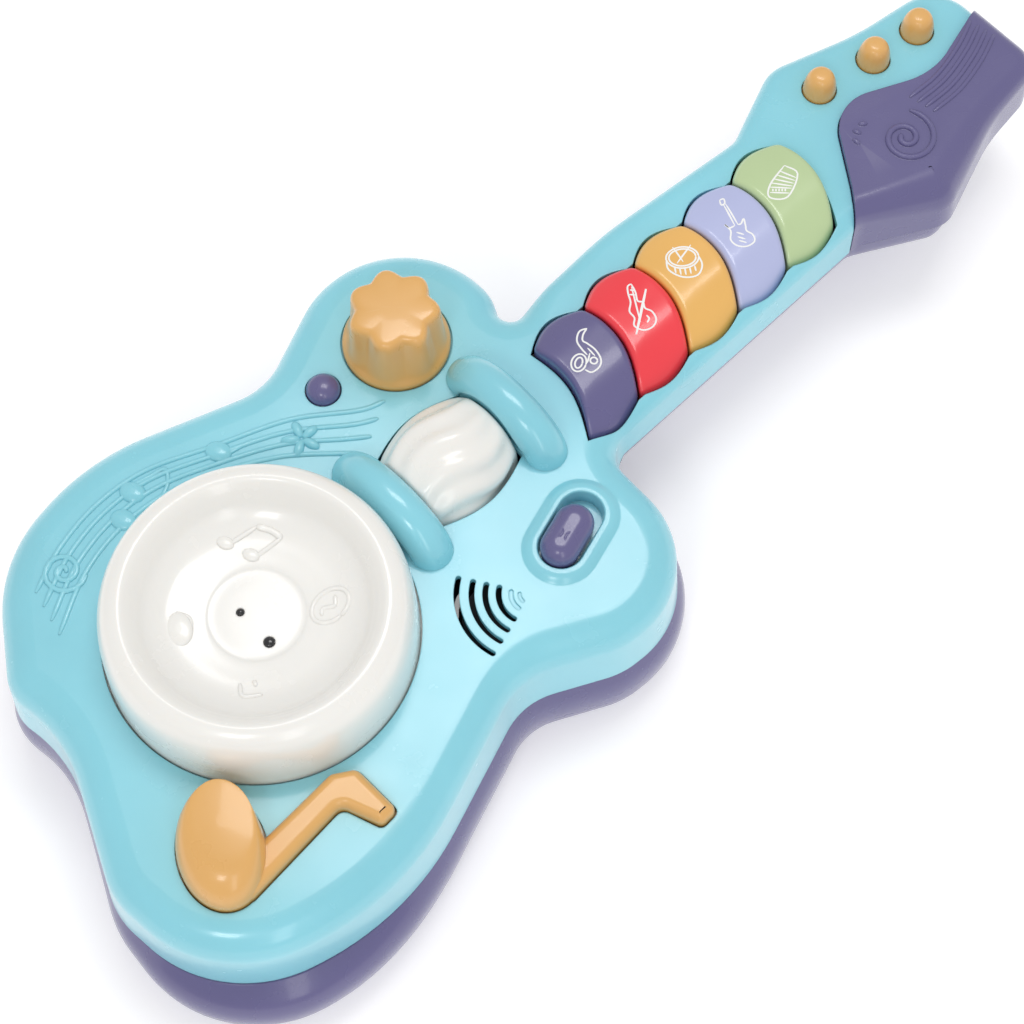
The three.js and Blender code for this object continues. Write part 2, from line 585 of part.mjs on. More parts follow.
// Fluted barrel with a through bore for its axle.
function roller() {
  let barrel = barAlongY(ROLLER.x, ROLLER.z, rollerStations(0), 27);
  const flutes = 9;
  for (let k = 0; k < flutes; k += 1) {
    const a = (k / flutes) * Math.PI * 2;
    const cx = ROLLER.x + (ROLLER.rMid + 1.6) * Math.cos(a);
    const cz = ROLLER.z + (ROLLER.rMid + 1.6) * Math.sin(a);
    barrel = barrel.subtract(barAlongY(cx, cz, [[ROLLER.y0 - 2, 2.6], [ROLLER.y1 + 2, 2.6]], 8));
  }
  return barrel.subtract(barAlongY(ROLLER.x, ROLLER.z, [[ROLLER.y0 - 2, 1.8], [ROLLER.y1 + 2, 1.8]], 16));
}

function rollerAxle() {
  return barAlongY(ROLLER.x, ROLLER.z, [[ROLLER.y0 - 4, 1.5], [ROLLER.y1 + 4, 1.5]], 16);
}

function switchSlider() {
  const shift = -(SWITCH.travel / 2);
  const along = new THREE.Vector2(0, shift).rotateAround(new THREE.Vector2(), SWITCH.angle);
  const pill = (length, width) => pillOutline(SWITCH.x + along.x, SWITCH.y + along.y, length, width, SWITCH.angle);
  const cap = stacked(pill(20.5, 12), [
    [TOP_Z - SWITCH.depth + GAP, 0.4], [TOP_Z + 3.2, 0], [TOP_Z + 6, 1.4], [TOP_Z + 7.2, 3.6],
  ]);
  return cap.add(prism(pill(5, 3.2), TOP_Z - 11, TOP_Z));
}

// ---------------------------------------------------------------- works inside
function keyMembrane() {
  const y0 = KEYS.yLeft - 6;
  const length = KEYS.pitch * KEYS.count + 4;
  let sheet = block(3, y0 + length / 2, TOP_Z - 14.5, 38, length, 1.2);
  for (let i = 0; i < KEYS.count; i += 1) {
    const y = KEYS.yLeft - 3.5 + KEYS.pitch * (i + 0.5);
    sheet = sheet.add(turned(6, y, [[0, TOP_Z - 12], [3, TOP_Z - 12], [4.5, TOP_Z - 13.5], [0, TOP_Z - 13.5]], 16));
  }
  return sheet;
}

function keyBoard() {
  const y0 = KEYS.yLeft - 6;
  const length = KEYS.pitch * KEYS.count + 4;
  return block(3, y0 + length / 2, TOP_Z - 16.4, 38, length, 1.6);
}

function pegBoard() {
  const [first, last] = [PEGS[0], PEGS.at(-1)];
  const angle = Math.atan2(first[0] - last[0], last[1] - first[1]);
  const outline = pillOutline((first[0] + last[0]) / 2, (first[1] + last[1]) / 2, 52, 8, angle, 4);
  return prism(outline, TOP_Z - 15.6, TOP_Z - 14);
}

function mainBoard() {
  const board = block(0, -8, BOARD_Z, 62, 80, 1.6);
  return subtractAll(board, BOARD_HOLES.map(([x, y]) => rod(x, y, BOARD_Z - 1, BOARD_Z + 3, 1.2, 8)));
}

function pushSwitch(x, y, z0, z1) {
  return block(x, y, z0, 6, 6, 3.2).add(rod(x, y, z0 + 3, z1, 1.7, 14));
}

function drumLight() {
  return turned(24, 0, [[0, BOARD_Z + 1.9], [2.6, BOARD_Z + 1.9], [2.5, BOARD_Z + 6], [1.6, BOARD_Z + 8], [0, BOARD_Z + 8.6]], 16);
}

function speakerFrame() {
  const { x, y, r, z } = SPEAKER;
  return turned(x, y, [
    [0, z - 12], [6, z - 12], [6, z - 8.6], [9, z - 7], [r - 1, z - 2.6], [r, z - 2.4], [r, z],
    [r - 2, z], [r - 2.4, z - 1.4], [4.6, z - 7.2], [0, z - 7.2],
  ], 20);
}

function speakerCone() {
  const { x, y, r, z } = SPEAKER;
  return turned(x, y, [
    [0, z - 4.2], [3.6, z - 4.8], [r - 3, z - 0.6], [r - 3, z - 1.1], [4, z - 6.2], [0, z - 6.2],
  ], 20);
}

function cell(index) {
  const x = HATCH.x + (index - 1) * CELL.pitch;
  const y0 = CELL.y - CELL.length / 2;
  const stations = [[y0, CELL.r], [y0 + CELL.length - 1.6, CELL.r], [y0 + CELL.length - 1.6, 2.6], [y0 + CELL.length, 2.6]];
  const profile = [[0, stations[0][0]], ...stations.map(([y, r]) => [r, y]), [0, stations.at(-1)[0]]];
  const lathe = new THREE.LatheGeometry(profile.map(([r, y]) => new THREE.Vector2(r, y)), 24);
  lathe.translate(x, 0, CELL.z);
  return toManifold(lathe);
}

function contactStrip(y) {
  return block(HATCH.x, y, CELL.z - 5, 40, 0.8, 10);
}

function caseScrew([x, y, base]) {
  const seam = base ? NECK_SEAM_Z : SEAM_Z;
  const head = rod(x, y, base + 6.4, base + 8.6, 2.7, 12)
    .subtract(block(x, y, base + 6, 3.6, 0.8, 1.4))
    .subtract(block(x, y, base + 6, 0.8, 3.6, 1.4));
  return head.add(rod(x, y, base + 8.4, seam + 9, 1.2, 8));
}

function knobEncoder() {
  const body = block(KNOB.x, KNOB.y, TOP_Z - 17, 13, 13, 9);
  return body.subtract(rod(KNOB.x, KNOB.y, TOP_Z - 12.5, TOP_Z, 3.3, 20));
}

function slideSwitch() {
  return prism(pillOutline(SWITCH.x, SWITCH.y, 20, 9, SWITCH.angle, 2), TOP_Z - 19, TOP_Z - 11.6);
}

function hatchCover() {
  const plate = block(HATCH.x, HATCH.y, 0, HATCH.w, HATCH.l, 2.2);
  const tab = rod(HATCH.x, HATCH.screwY, 0, 2.2, 3.4, 20);
  return subtractAll(plate.add(tab), [
    rod(HATCH.x, HATCH.screwY, -1, 3, 1.6, 14),
    rod(HATCH.x, HATCH.screwY, -1, 1.2, 2.7, 14),
  ]);
}

function hatchScrew() {
  return rod(HATCH.x, HATCH.screwY, 0.2, 0.9, 2.4, 14).add(rod(HATCH.x, HATCH.screwY, 0.5, 8, 1.2, 14));
}

// ---------------------------------------------------------------- assembly
const guitar = new THREE.Group();
guitar.name = 'toy_guitar';

function addPiece(name, solid, colour, roughness = 0.35, metalness = 0) {
  const mesh = solid.getMesh();
  const geometry = new THREE.BufferGeometry();
  geometry.setAttribute('position', new THREE.Float32BufferAttribute(mesh.vertProperties, 3));
  geometry.setIndex(Array.from(mesh.triVerts));
  const material = new THREE.MeshStandardMaterial({ color: COLOURS[colour], roughness, metalness });
  const piece = new THREE.Mesh(geometry, material);
  piece.name = name;
  guitar.add(piece);
}

addPiece('upper_shell', upperShell(), 'aqua', 0.3);
addPiece('lower_shell', lowerShell(), 'slate', 0.35);
addPiece('headstock_cover', headstockCover(), 'slate', 0.3);
addPiece('drum_pad', drumPad(), 'ivory', 0.3);
['eye_left', 'eye_right'].forEach((name, i) => addPiece(name, eyeBead(eyePlaces()[i]), 'black', 0.25));
['slate', 'red', 'orange', 'lavender', 'green'].forEach((colour, i) =>
  addPiece(`key_${colour}`, neckKey(i), colour, 0.3));
addPiece('note_button', noteButton(), 'tan', 0.35);
addPiece('dome_button', pushDome(DOME.x, DOME.y, DOME.r, DOME.rise), 'slate', 0.3);
addPiece('knob', knob(), 'tan', 0.35);
addPiece('roller', roller(), 'ivory', 0.3);
addPiece('roller_axle', rollerAxle(), 'steel', 0.3, 1);
addPiece('switch_slider', switchSlider(), 'slate', 0.3);
PEGS.forEach(([x, y], i) => addPiece(`peg_${i + 1}`, pushDome(x, y, PEG_R, 8.6), 'tan', 0.35));
addPiece('knob_encoder', knobEncoder(), 'steel', 0.4, 0.6);
addPiece('slide_switch', slideSwitch(), 'black', 0.5);
addPiece('key_membrane', keyMembrane(), 'rubber', 0.8);
addPiece('key_board', keyBoard(), 'board', 0.5);
addPiece('main_board', mainBoard(), 'board', 0.5);
addPiece('drum_switch', pushSwitch(DRUM.x, DRUM.y, BOARD_Z + 1.9, TOP_Z - 4.3), 'black', 0.5);
addPiece('drum_light', drumLight(), 'ivory', 0.2);
addPiece('note_switch', pushSwitch(NOTE_SWITCH.x, NOTE_SWITCH.y, TOP_Z - 14, TOP_Z - 8), 'black', 0.5);
addPiece('dome_switch', pushSwitch(DOME.x, DOME.y, TOP_Z - 14, TOP_Z - 8.4), 'black', 0.5);
addPiece('peg_board', pegBoard(), 'board', 0.5);
PEGS.forEach(([x, y], i) =>
  addPiece(`peg_switch_${i + 1}`, pushSwitch(x, y, TOP_Z - 13.7, TOP_Z - 8.6), 'black', 0.5));
addPiece('speaker_frame', speakerFrame(), 'black', 0.5);
addPiece('speaker_cone', speakerCone(), 'paper', 0.8);
[0, 1, 2].forEach((i) => addPiece(`battery_${i + 1}`, cell(i), 'label', 0.4, 0.3));
addPiece('contact_front', contactStrip(CELL.y - CELL.length / 2 - 1.4), 'steel', 0.3, 1);
addPiece('contact_back', contactStrip(CELL.y + CELL.length / 2 + 1.4), 'steel', 0.3, 1);
CASE_SCREWS.forEach((place, i) => addPiece(`case_screw_${i + 1}`, caseScrew(place), 'steel', 0.35, 1));
addPiece('battery_cover', hatchCover(), 'slate', 0.4);
addPiece('battery_screw', hatchScrew(), 'steel', 0.35, 1);

// Centre the footprint on the origin.
const bounds = new THREE.Box3().setFromObject(guitar);
const centre = bounds.getCenter(new THREE.Vector3());
guitar.children.forEach((piece) => piece.geometry.translate(-centre.x, -centre.y, -bounds.min.z));

export default guitar;
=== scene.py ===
"""Looks of the toy guitar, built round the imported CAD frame.

Shapes are written in the CAD's building millimetres: the drum pad's axis is at DRUM and z = 0 is
the floor. They are moved into the row frame when their mesh is made.
"""
import math

import bmesh
import bpy
import numpy as np
from mathutils import Matrix, Vector


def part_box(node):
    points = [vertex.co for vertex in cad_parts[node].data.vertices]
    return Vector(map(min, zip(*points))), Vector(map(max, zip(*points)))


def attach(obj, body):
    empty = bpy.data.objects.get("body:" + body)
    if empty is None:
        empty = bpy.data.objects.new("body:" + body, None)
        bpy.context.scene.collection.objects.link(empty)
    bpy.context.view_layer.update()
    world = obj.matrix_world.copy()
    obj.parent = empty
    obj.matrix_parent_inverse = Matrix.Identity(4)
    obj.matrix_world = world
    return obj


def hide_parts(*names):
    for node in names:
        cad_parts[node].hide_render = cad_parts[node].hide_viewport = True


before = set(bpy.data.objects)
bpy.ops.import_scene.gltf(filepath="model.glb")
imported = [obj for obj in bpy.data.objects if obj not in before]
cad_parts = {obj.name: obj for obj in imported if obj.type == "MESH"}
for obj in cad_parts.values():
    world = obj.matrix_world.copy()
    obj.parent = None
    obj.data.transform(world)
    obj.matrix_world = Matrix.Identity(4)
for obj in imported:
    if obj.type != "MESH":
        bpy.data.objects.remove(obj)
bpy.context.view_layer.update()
MM = 0.001

# ------------------------------------------------------------------ dimensions, mm
TOP = 52.0
SEAM = 25.0
NECK_SEAM = 35.0
NECK_BACK = 19.0
WALL = 2.5
LIP = TOP - 2.8  # top of the flanges that keep the pressed parts in
BODY_ROLL = 10.0
NECK_ROLL = 6.0
DRUM = (-0.1, 1.9)
DRUM_R = 46.0
DRUM_RISE = 25.0
KNOB = (-42.9, 94.1)
DOME = (-46.0, 66.9)
ROLLER_X, ROLLER_Z = -2.6, TOP - 3.0
ROLLER_Y0, ROLLER_Y1 = 61.0, 95.0
ARCH_X, ARCH_YS = -1.8, (54.7, 101.3)
SWITCH, SWITCH_ANGLE = (39.2, 88.5), 0.3
GRILLE = (45.0, 66.0)
KEY_COUNT, KEY_PITCH = 5, 21.6
KEY_LEFT, KEY_RIGHT = -11.2, 21.2
KEY_Y_LEFT, KEY_Y_RIGHT = 121.0, 113.5
PEGS = ((-16.8, 254.0), (-12.8, 275.0), (-10.6, 293.4))
COVER_RISE = 2.4
HATCH = (0.0, -17.0, 50.0, 62.0, 15.5)  # x, y, width, length, y of the screw
NOTE_HEAD = (42.0, -49.5)
NOTE_TILT = -0.5
VIEW_SWING = 0.76192  # radians the camera is turned about Z; the key pictures stand upright in it
VIEW_ELEVATION = 1.14989
# Case screws: x, y and the height of the back that each one enters.
CASE_SCREWS = (
    (-64, 104, 0), (60, 106, 0), (-66, -14, 0), (63, 14, 0), (-10, -55, 0), (-17.8, 241, NECK_BACK),
)

# Corners of the outlines: x, y, corner radius, anticlockwise from above.
BODY_CORNERS = (
    (-81, 130, 35), (-76, 86, 35), (-63, 56, 22), (-82, 1, 74), (-74, -40, 47), (-39, -64, 15),
    (-18, -60, 47), (28, -81, 27), (69, -77, 42), (86, -21, 88), (61, 48, 23), (75, 76, 27),
    (78, 116, 31),
)
NECK_SIDE_CORNERS = (
    (25.8, 229, 7), (40.5, 256, 10), (29, 288, 60), (25.8, 314.5, 10), (-21, 315, 16),
    (-25.6, 280, 90), (-35.2, 249.5, 14), (-24, 222, 8), (-28.8, 168, 120),
)
SHELL_CORNERS = BODY_CORNERS + ((26.8, 117.3, 8),) + NECK_SIDE_CORNERS + ((-26.4, 124.6, 3), (-37, 130.2, 16))
TUB_CORNERS = BODY_CORNERS + ((0, 118, 12), (-26, 124.5, 12), (-37, 130.2, 20))
NECK_BACK_CORNERS = ((26.8, 112, 1.5),) + NECK_SIDE_CORNERS + ((-26.2, 119, 1.5),)
COVER_CORNERS = (
    (-6.5, 325, 1), (4.8, 284, 26), (-9.8, 252, 15), (15.5, 234, 18), (34, 219, 1), (60, 225, 1),
    (60, 325, 1),
)

drum_low, drum_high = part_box("drum_pad")
SHIFT = np.array([
    (drum_low.x + drum_high.x) / 2 - DRUM[0] * MM,
    (drum_low.y + drum_high.y) / 2 - DRUM[1] * MM,
    0.0,
])


def to_row(points):
    """Building millimetres to the row frame in metres."""
    return np.asarray(points, float) * MM + SHIFT


# ------------------------------------------------------------------ outlines
def rounded_outline(corners, step=0.05, spacing=0.45):
    points = []
    count = len(corners)
    for i in range(count):
        before = np.array(corners[i - 1][:2], float)
        here = np.array(corners[i][:2], float)
        after = np.array(corners[(i + 1) % count][:2], float)
        radius = corners[i][2]
        back = (before - here) / np.linalg.norm(before - here)
        ahead = (after - here) / np.linalg.norm(after - here)
        half = math.acos(np.clip(back @ ahead, -1, 1)) / 2
        middle = (back + ahead) / np.linalg.norm(back + ahead)
        centre = here + middle * radius / math.sin(half)
        start = here + back * radius / math.tan(half) - centre
        end = here + ahead * radius / math.tan(half) - centre
        sweep = math.atan2(start[0] * end[1] - start[1] * end[0], start @ end)
        steps = max(3, math.ceil(abs(sweep) / step))
        for k in range(steps + 1):
            a = sweep * k / steps
            c, s = math.cos(a), math.sin(a)
            turned = np.array([c * start[0] - s * start[1], s * start[0] + c * start[1]])
            points.append(centre + turned)
    return drop_close(np.array(points), spacing)


def drop_close(points, spacing):
    kept = [points[0]]
    for p in points[1:]:
        if np.linalg.norm(p - kept[-1]) > spacing:
            kept.append(p)
    if np.linalg.norm(kept[-1] - kept[0]) < spacing:
        kept.pop()
    return np.array(kept)


def evenly(points, spacing):
    """The closed outline again, with points at even distances along it."""
    loop = np.vstack([points, points[:1]])
    along = np.concatenate([[0], np.cumsum(np.linalg.norm(np.diff(loop, axis=0), axis=1))])
    count = max(8, int(round(along[-1] / spacing)))
    at = np.linspace(0, along[-1], count, endpoint=False)
    return np.column_stack([np.interp(at, along, loop[:, k]) for k in range(2)])


def inset(points, distance):
    """The outline moved inwards; distance is one number or one for each point."""
    before = points - np.roll(points, 1, axis=0)
    after = np.roll(points, -1, axis=0) - points
    before /= np.linalg.norm(before, axis=1)[:, None]
    after /= np.linalg.norm(after, axis=1)[:, None]
    normal = np.column_stack([-(before[:, 1] + after[:, 1]), before[:, 0] + after[:, 0]])
    normal /= np.linalg.norm(normal, axis=1)[:, None]
    slant = np.maximum(0.5, normal[:, 0] * -before[:, 1] + normal[:, 1] * before[:, 0])
    return points + normal * (np.broadcast_to(distance, len(points)) / slant)[:, None]


def edge_distance(points, outline):
    """Distance from each point to the closed outline."""
    start, end = outline, np.roll(outline, -1, axis=0)
    along = end - start
    t = np.einsum("pk,sk->ps", points, along) - np.einsum("sk,sk->s", start, along)
    t = np.clip(t / np.einsum("sk,sk->s", along, along), 0, 1)
    nearest = start[None] + t[:, :, None] * along[None]
    return np.linalg.norm(points[:, None] - nearest, axis=2).min(axis=1)


def circle(x, y, radius, steps=64):
    a = np.linspace(0, 2 * math.pi, steps, endpoint=False)
    return np.column_stack([x + radius * np.cos(a), y + radius * np.sin(a)])


def turn(points, angle, centre=(0, 0)):
    c, s = math.cos(angle), math.sin(angle)
    p = np.asarray(points, float)
    return np.column_stack([
        c * p[:, 0] - s * p[:, 1] + centre[0],
        s * p[:, 0] + c * p[:, 1] + centre[1],
    ])


def ellipse(x, y, rx, ry, tilt, steps=72):
    return turn(circle(0, 0, 1, steps) * [rx, ry], tilt, (x, y))


def pill(x, y, length, width, angle, steps=16):
    """Slot with round ends; angle turns its long direction from +Y."""
    points = []
    for side, first in ((1, 0), (-1, math.pi)):
        for k in range(steps + 1):
            a = first + math.pi * k / steps
            along = side * (length - width) / 2 + math.sin(a) * width / 2
            points.append((math.cos(a) * width / 2, along))
    return turn(points, angle, (x, y))


def smooth_path(points, per_span=8):
    """Catmull-Rom curve through the points, in any number of dimensions."""
    p = np.asarray(points, float)
    p = np.vstack([2 * p[0] - p[1], p, 2 * p[-1] - p[-2]])
    out = []
    for i in range(1, len(p) - 2):
        for k in range(per_span):
            t = k / per_span
            out.append(0.5 * (2 * p[i] + (p[i + 1] - p[i - 1]) * t
                       + (2 * p[i - 1] - 5 * p[i] + 4 * p[i + 1] - p[i + 2]) * t * t
                       + (3 * p[i] - p[i - 1] - 3 * p[i + 1] + p[i + 2]) * t ** 3))
    out.append(p[-2])
    return np.array(out)


# ------------------------------------------------------------------ solids as (vertices, faces)
def raised(outline, z):
    return np.column_stack([outline, np.broadcast_to(z, len(outline))])


def loft(rings, caps=(True, True)):
    count = len(rings[0])
    faces = []
    for level in range(len(rings) - 1):
        a = level * count
        for i in range(count):
            j = (i + 1) % count
            faces.append((a + i, a + j, a + count + j, a + count + i))
    if caps[0]:
        faces.append(tuple(range(count - 1, -1, -1)))
    if caps[1]:
        faces.append(tuple(range((len(rings) - 1) * count, len(rings) * count)))
    return np.vstack(rings), faces


def prism(outline, z0, z1):
    return loft([raised(outline, z0), raised(outline, z1)])


def lathe(profile, x=0.0, y=0.0, steps=96, along_y=False):
    """Profile of (radius, height) from axis to axis, turned about a vertical axis or along +Y."""
    a = np.linspace(0, 2 * math.pi, steps, endpoint=False)
    inner = [p for p in profile if p[0] > 1e-6]
    rings = [np.column_stack([r * np.cos(a), r * np.sin(a), np.full(steps, z)]) for r, z in inner]
    verts, faces = loft(rings, (False, False))
    ends = np.array([[0, 0, profile[0][1]], [0, 0, profile[-1][1]]])
    first = len(verts)
    last = (len(rings) - 1) * steps
    for i in range(steps):
        j = (i + 1) % steps
        faces.append((first, j, i))
        faces.append((first + 1, last + i, last + j))
    verts = np.vstack([verts, ends])
    if along_y:
        verts = np.column_stack([verts[:, 0], verts[:, 2], -verts[:, 1]])
        return verts + [x, 0, y], faces
    return verts + [x, y, 0], faces


def tube(path, radius, squash=1.0, sides=10):
    """Round bar along a 3-D path, with its ends rounded off."""
    p = np.asarray(path, float)
    tangent = np.gradient(p, axis=0)
    tangent /= np.linalg.norm(tangent, axis=1)[:, None]
    up = np.array([0, 0, 1.0])
    side = np.cross(tangent, up)
    side /= np.maximum(np.linalg.norm(side, axis=1), 1e-9)[:, None]
    above = np.cross(side, tangent)
    scale = np.ones(len(p))
    scale[0] = scale[-1] = 0.45
    scale[1] = scale[-2] = 0.85
    a = np.linspace(0, 2 * math.pi, sides, endpoint=False)
    rings = [c + radius * s * (np.cos(a)[:, None] * u + squash * np.sin(a)[:, None] * v)
             for c, s, u, v in zip(p, scale, side, above)]
    verts, faces = loft(rings)
    return verts, [f[::-1] for f in faces]


def joined(parts):
    verts, faces, base = [], [], 0
    for v, f in parts:
        verts.append(np.asarray(v, float))
        faces.extend(tuple(i + base for i in face) for face in f)
        base += len(v)
    return np.vstack(verts), faces


def mesh_of(solid, name):
    verts, faces = solid
    mesh = bpy.data.meshes.new(name)
    mesh.from_pydata(to_row(verts).tolist(), [], [tuple(int(i) for i in f) for f in faces])
    mesh.validate()
    mesh.update()
    return mesh


def outward(mesh):
    bm = bmesh.new()
    bm.from_mesh(mesh)
    bmesh.ops.recalc_face_normals(bm, faces=bm.faces)
    bm.to_mesh(mesh)
    bm.free()
    return mesh


def temporary(solid):
    obj = bpy.data.objects.new("cutter", outward(mesh_of(solid, "cutter")))
    bpy.context.scene.collection.objects.link(obj)
    return obj


def combine(base, others, operation):
    """The mesh of solid base after each of the others is cut away, added or kept in common."""
    obj = base if isinstance(base, bpy.types.Object) else temporary(base)
    for other in others:
        tool = other if isinstance(other, bpy.types.Object) else temporary(other)
        step = obj.modifiers.new("step", "BOOLEAN")
        step.operation = operation
        step.solver = "MANIFOLD"
        step.object = tool
        bpy.context.view_layer.update()
        depsgraph = bpy.context.evaluated_depsgraph_get()
        result = bpy.data.meshes.new_from_object(obj.evaluated_get(depsgraph))
        obj.modifiers.remove(step)
        obj.data = result
        bpy.data.objects.remove(tool)
    return obj


def piece(name, solid, body, material, cad=(), sharp=38.0):
    """Names a finished solid, gives it its finish and ties it to its body."""
    if isinstance(solid, bpy.types.Object):
        obj = solid
        obj.name = name
        obj.data.name = name
    else:
        obj = bpy.data.objects.new(name, outward(mesh_of(solid, name)))
        bpy.context.scene.collection.objects.link(obj)
    mesh = obj.data
    mesh.materials.clear()
    mesh.materials.append(material)
    mesh.shade_smooth()
    mesh.set_sharp_from_angle(angle=math.radians(sharp))
    even = obj.modifiers.new("even_shading", "WEIGHTED_NORMAL")
    even.mode, even.weight, even.keep_sharp = "FACE_AREA", 50, True
    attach(obj, body)
    if cad:
        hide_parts(*cad)
    return obj


# ------------------------------------------------------------------ materials
def plastic(name, colour, rough=0.24, spread=0.035, bump=0.06, bevel=0.55, coat=0.35, glow=0.0):
    """Glossy moulded plastic: faint cloudiness, fine mould texture, paler edges, soft bevels."""
    mat = bpy.data.materials.new(name)
    mat.use_nodes = True
    nodes, links = mat.node_tree.nodes, mat.node_tree.links
    shader = nodes["Principled BSDF"]
    place = nodes.new("ShaderNodeTexCoord")

    def noise(scale, detail, rough_=0.55):
        n = nodes.new("ShaderNodeTexNoise")
        n.inputs["Scale"].default_value = scale
        n.inputs["Detail"].default_value = detail
        n.inputs["Roughness"].default_value = rough_
        links.new(place.outputs["Object"], n.inputs["Vector"])
        return n

    def ramp(source, low, high, a, b):
        r = nodes.new("ShaderNodeMapRange")
        r.inputs["From Min"].default_value = low
        r.inputs["From Max"].default_value = high
        r.inputs["To Min"].default_value = a
        r.inputs["To Max"].default_value = b
        links.new(source, r.inputs["Value"])
        return r

    cloud = noise(22.0, 3.0)
    mix = nodes.new("ShaderNodeMix")
    mix.data_type = "RGBA"
    c = np.array(colour)
    mix.inputs["A"].default_value = (*np.clip(c * (1 - spread), 0, 1), 1)
    mix.inputs["B"].default_value = (*np.clip(c * (1 + spread), 0, 1), 1)
    links.new(ramp(cloud.outputs["Fac"], 0.3, 0.7, 0, 1).outputs["Result"], mix.inputs["Factor"])
    specks = noise(900.0, 1.0)
    dust = nodes.new("ShaderNodeMix")
    dust.data_type = "RGBA"
    dust.inputs["B"].default_value = (*np.clip(c * 0.72, 0, 1), 1)
    links.new(mix.outputs["Result"], dust.inputs["A"])
    dust_amount = ramp(specks.outputs["Fac"], 0.78, 0.9, 0, 0.15)
    links.new(dust_amount.outputs["Result"], dust.inputs["Factor"])
    edge = nodes.new("ShaderNodeNewGeometry")
    worn = nodes.new("ShaderNodeMix")
    worn.data_type = "RGBA"
    worn.inputs["B"].default_value = (*np.clip(c * 0.85 + 0.15, 0, 1), 1)
    links.new(dust.outputs["Result"], worn.inputs["A"])
    wear = ramp(edge.outputs["Pointiness"], 0.56, 0.68, 0, 0.25)
    links.new(wear.outputs["Result"], worn.inputs["Factor"])
    links.new(worn.outputs["Result"], shader.inputs["Base Color"])

    smear = noise(60.0, 4.0, 0.6)
    scratch = nodes.new("ShaderNodeTexNoise")
    scratch.inputs["Scale"].default_value = 180.0
    scratch.inputs["Detail"].default_value = 2.0
    stretch = nodes.new("ShaderNodeMapping")
    stretch.inputs["Rotation"].default_value = (0, 0, 0.7)
    stretch.inputs["Scale"].default_value = (1.0, 0.06, 1.0)
    links.new(place.outputs["Object"], stretch.inputs["Vector"])
    links.new(stretch.outputs["Vector"], scratch.inputs["Vector"])
    fine = ramp(scratch.outputs["Fac"], 0.66, 0.8, 0.0, 0.025)
    level = ramp(smear.outputs["Fac"], 0.35, 0.7, rough - 0.035, rough + 0.05)
    total = nodes.new("ShaderNodeMath")
    total.operation = "ADD"
    links.new(level.outputs["Result"], total.inputs[0])
    links.new(fine.outputs["Result"], total.inputs[1])
    links.new(total.outputs["Value"], shader.inputs["Roughness"])

    grain = noise(1400.0, 2.0)
    swell = noise(70.0, 1.0)
    height = nodes.new("ShaderNodeMath")
    height.operation = "MULTIPLY_ADD"
    height.inputs[1].default_value = 0.25
    links.new(grain.outputs["Fac"], height.inputs[0])
    links.new(swell.outputs["Fac"], height.inputs[2])
    dents = nodes.new("ShaderNodeBump")
    dents.inputs["Strength"].default_value = bump
    dents.inputs["Distance"].default_value = 0.0003
    links.new(height.outputs["Value"], dents.inputs["Height"])
    if bevel:
        soft = nodes.new("ShaderNodeBevel")
        soft.samples = 6
        soft.inputs["Radius"].default_value = bevel * 0.001
        links.new(soft.outputs["Normal"], dents.inputs["Normal"])
    links.new(dents.outputs["Normal"], shader.inputs["Normal"])
    shader.inputs["IOR"].default_value = 1.5
    shader.inputs["Coat Weight"].default_value = coat
    shader.inputs["Coat Roughness"].default_value = 0.09
    shader.inputs["Subsurface Weight"].default_value = glow
    shader.inputs["Subsurface Radius"].default_value = (0.004, 0.0035, 0.003)
    shader.inputs["Subsurface Scale"].default_value = 1.0
    return mat


def metal(name, colour, rough=0.32):
    mat = plastic(name, colour, rough, spread=0.1, bump=0.15, bevel=0.15, coat=0.0)
    mat.node_tree.nodes["Principled BSDF"].inputs["Metallic"].default_value = 1.0
    return mat


def srgb(r, g, b):
    return tuple(((v / 255 + 0.055) / 1.055) ** 2.4 if v > 10 else v / 255 / 12.92 for v in (r, g, b))


AQUA = plastic("aqua_plastic", srgb(141, 213, 228), glow=0.08)
SLATE = plastic("slate_plastic", srgb(101, 96, 142), rough=0.27)
IVORY = plastic("ivory_plastic", srgb(244, 242, 237), rough=0.25, spread=0.012, glow=0.15)
TAN = plastic("tan_plastic", srgb(229, 176, 103), rough=0.3, glow=0.08)
RED = plastic("red_plastic", srgb(247, 62, 72), rough=0.22)
ORANGE = plastic("orange_plastic", srgb(238, 184, 100), rough=0.22)
LAVENDER = plastic("lavender_plastic", srgb(184, 190, 228), rough=0.22)
GREEN = plastic("green_plastic", srgb(190, 211, 160), rough=0.22)
BLACK = plastic("black_plastic", (0.012, 0.012, 0.014), rough=0.2, bevel=0.1)
INK = plastic("white_ink", srgb(248, 248, 246), rough=0.4, bevel=0, coat=0.0)
RUBBER = plastic("silicone", srgb(216, 216, 210), rough=0.6, coat=0.0, glow=0.2)
BOARD = plastic("board_lacquer", srgb(40, 110, 66), rough=0.35, spread=0.15, bevel=0.1)
PAPER = plastic("cone_paper", srgb(48, 48, 52), rough=0.8, bump=0.4, bevel=0, coat=0.0)
JACKET = plastic("cell_jacket", srgb(70, 104, 136), rough=0.3, bevel=0.1)
STEEL = metal("zinc_steel", srgb(196, 198, 202))

# ------------------------------------------------------------------ case
shell_outline = evenly(rounded_outline(SHELL_CORNERS), 1.0)
tub_outline = evenly(rounded_outline(TUB_CORNERS), 1.0)
back_outline = evenly(rounded_outline(NECK_BACK_CORNERS), 1.0)
cover_region = rounded_outline(COVER_CORNERS)


def past_heel(outline):
    """How far each point is along the neck from where it leaves the body, in mm."""
    x, y = outline[:, 0], outline[:, 1]
    beside = (np.abs(x) < 48) & ((x > -29) | (y > 145))
    return np.where(beside, y - np.where(x > 0, 117.6, 125.4), -1.0)


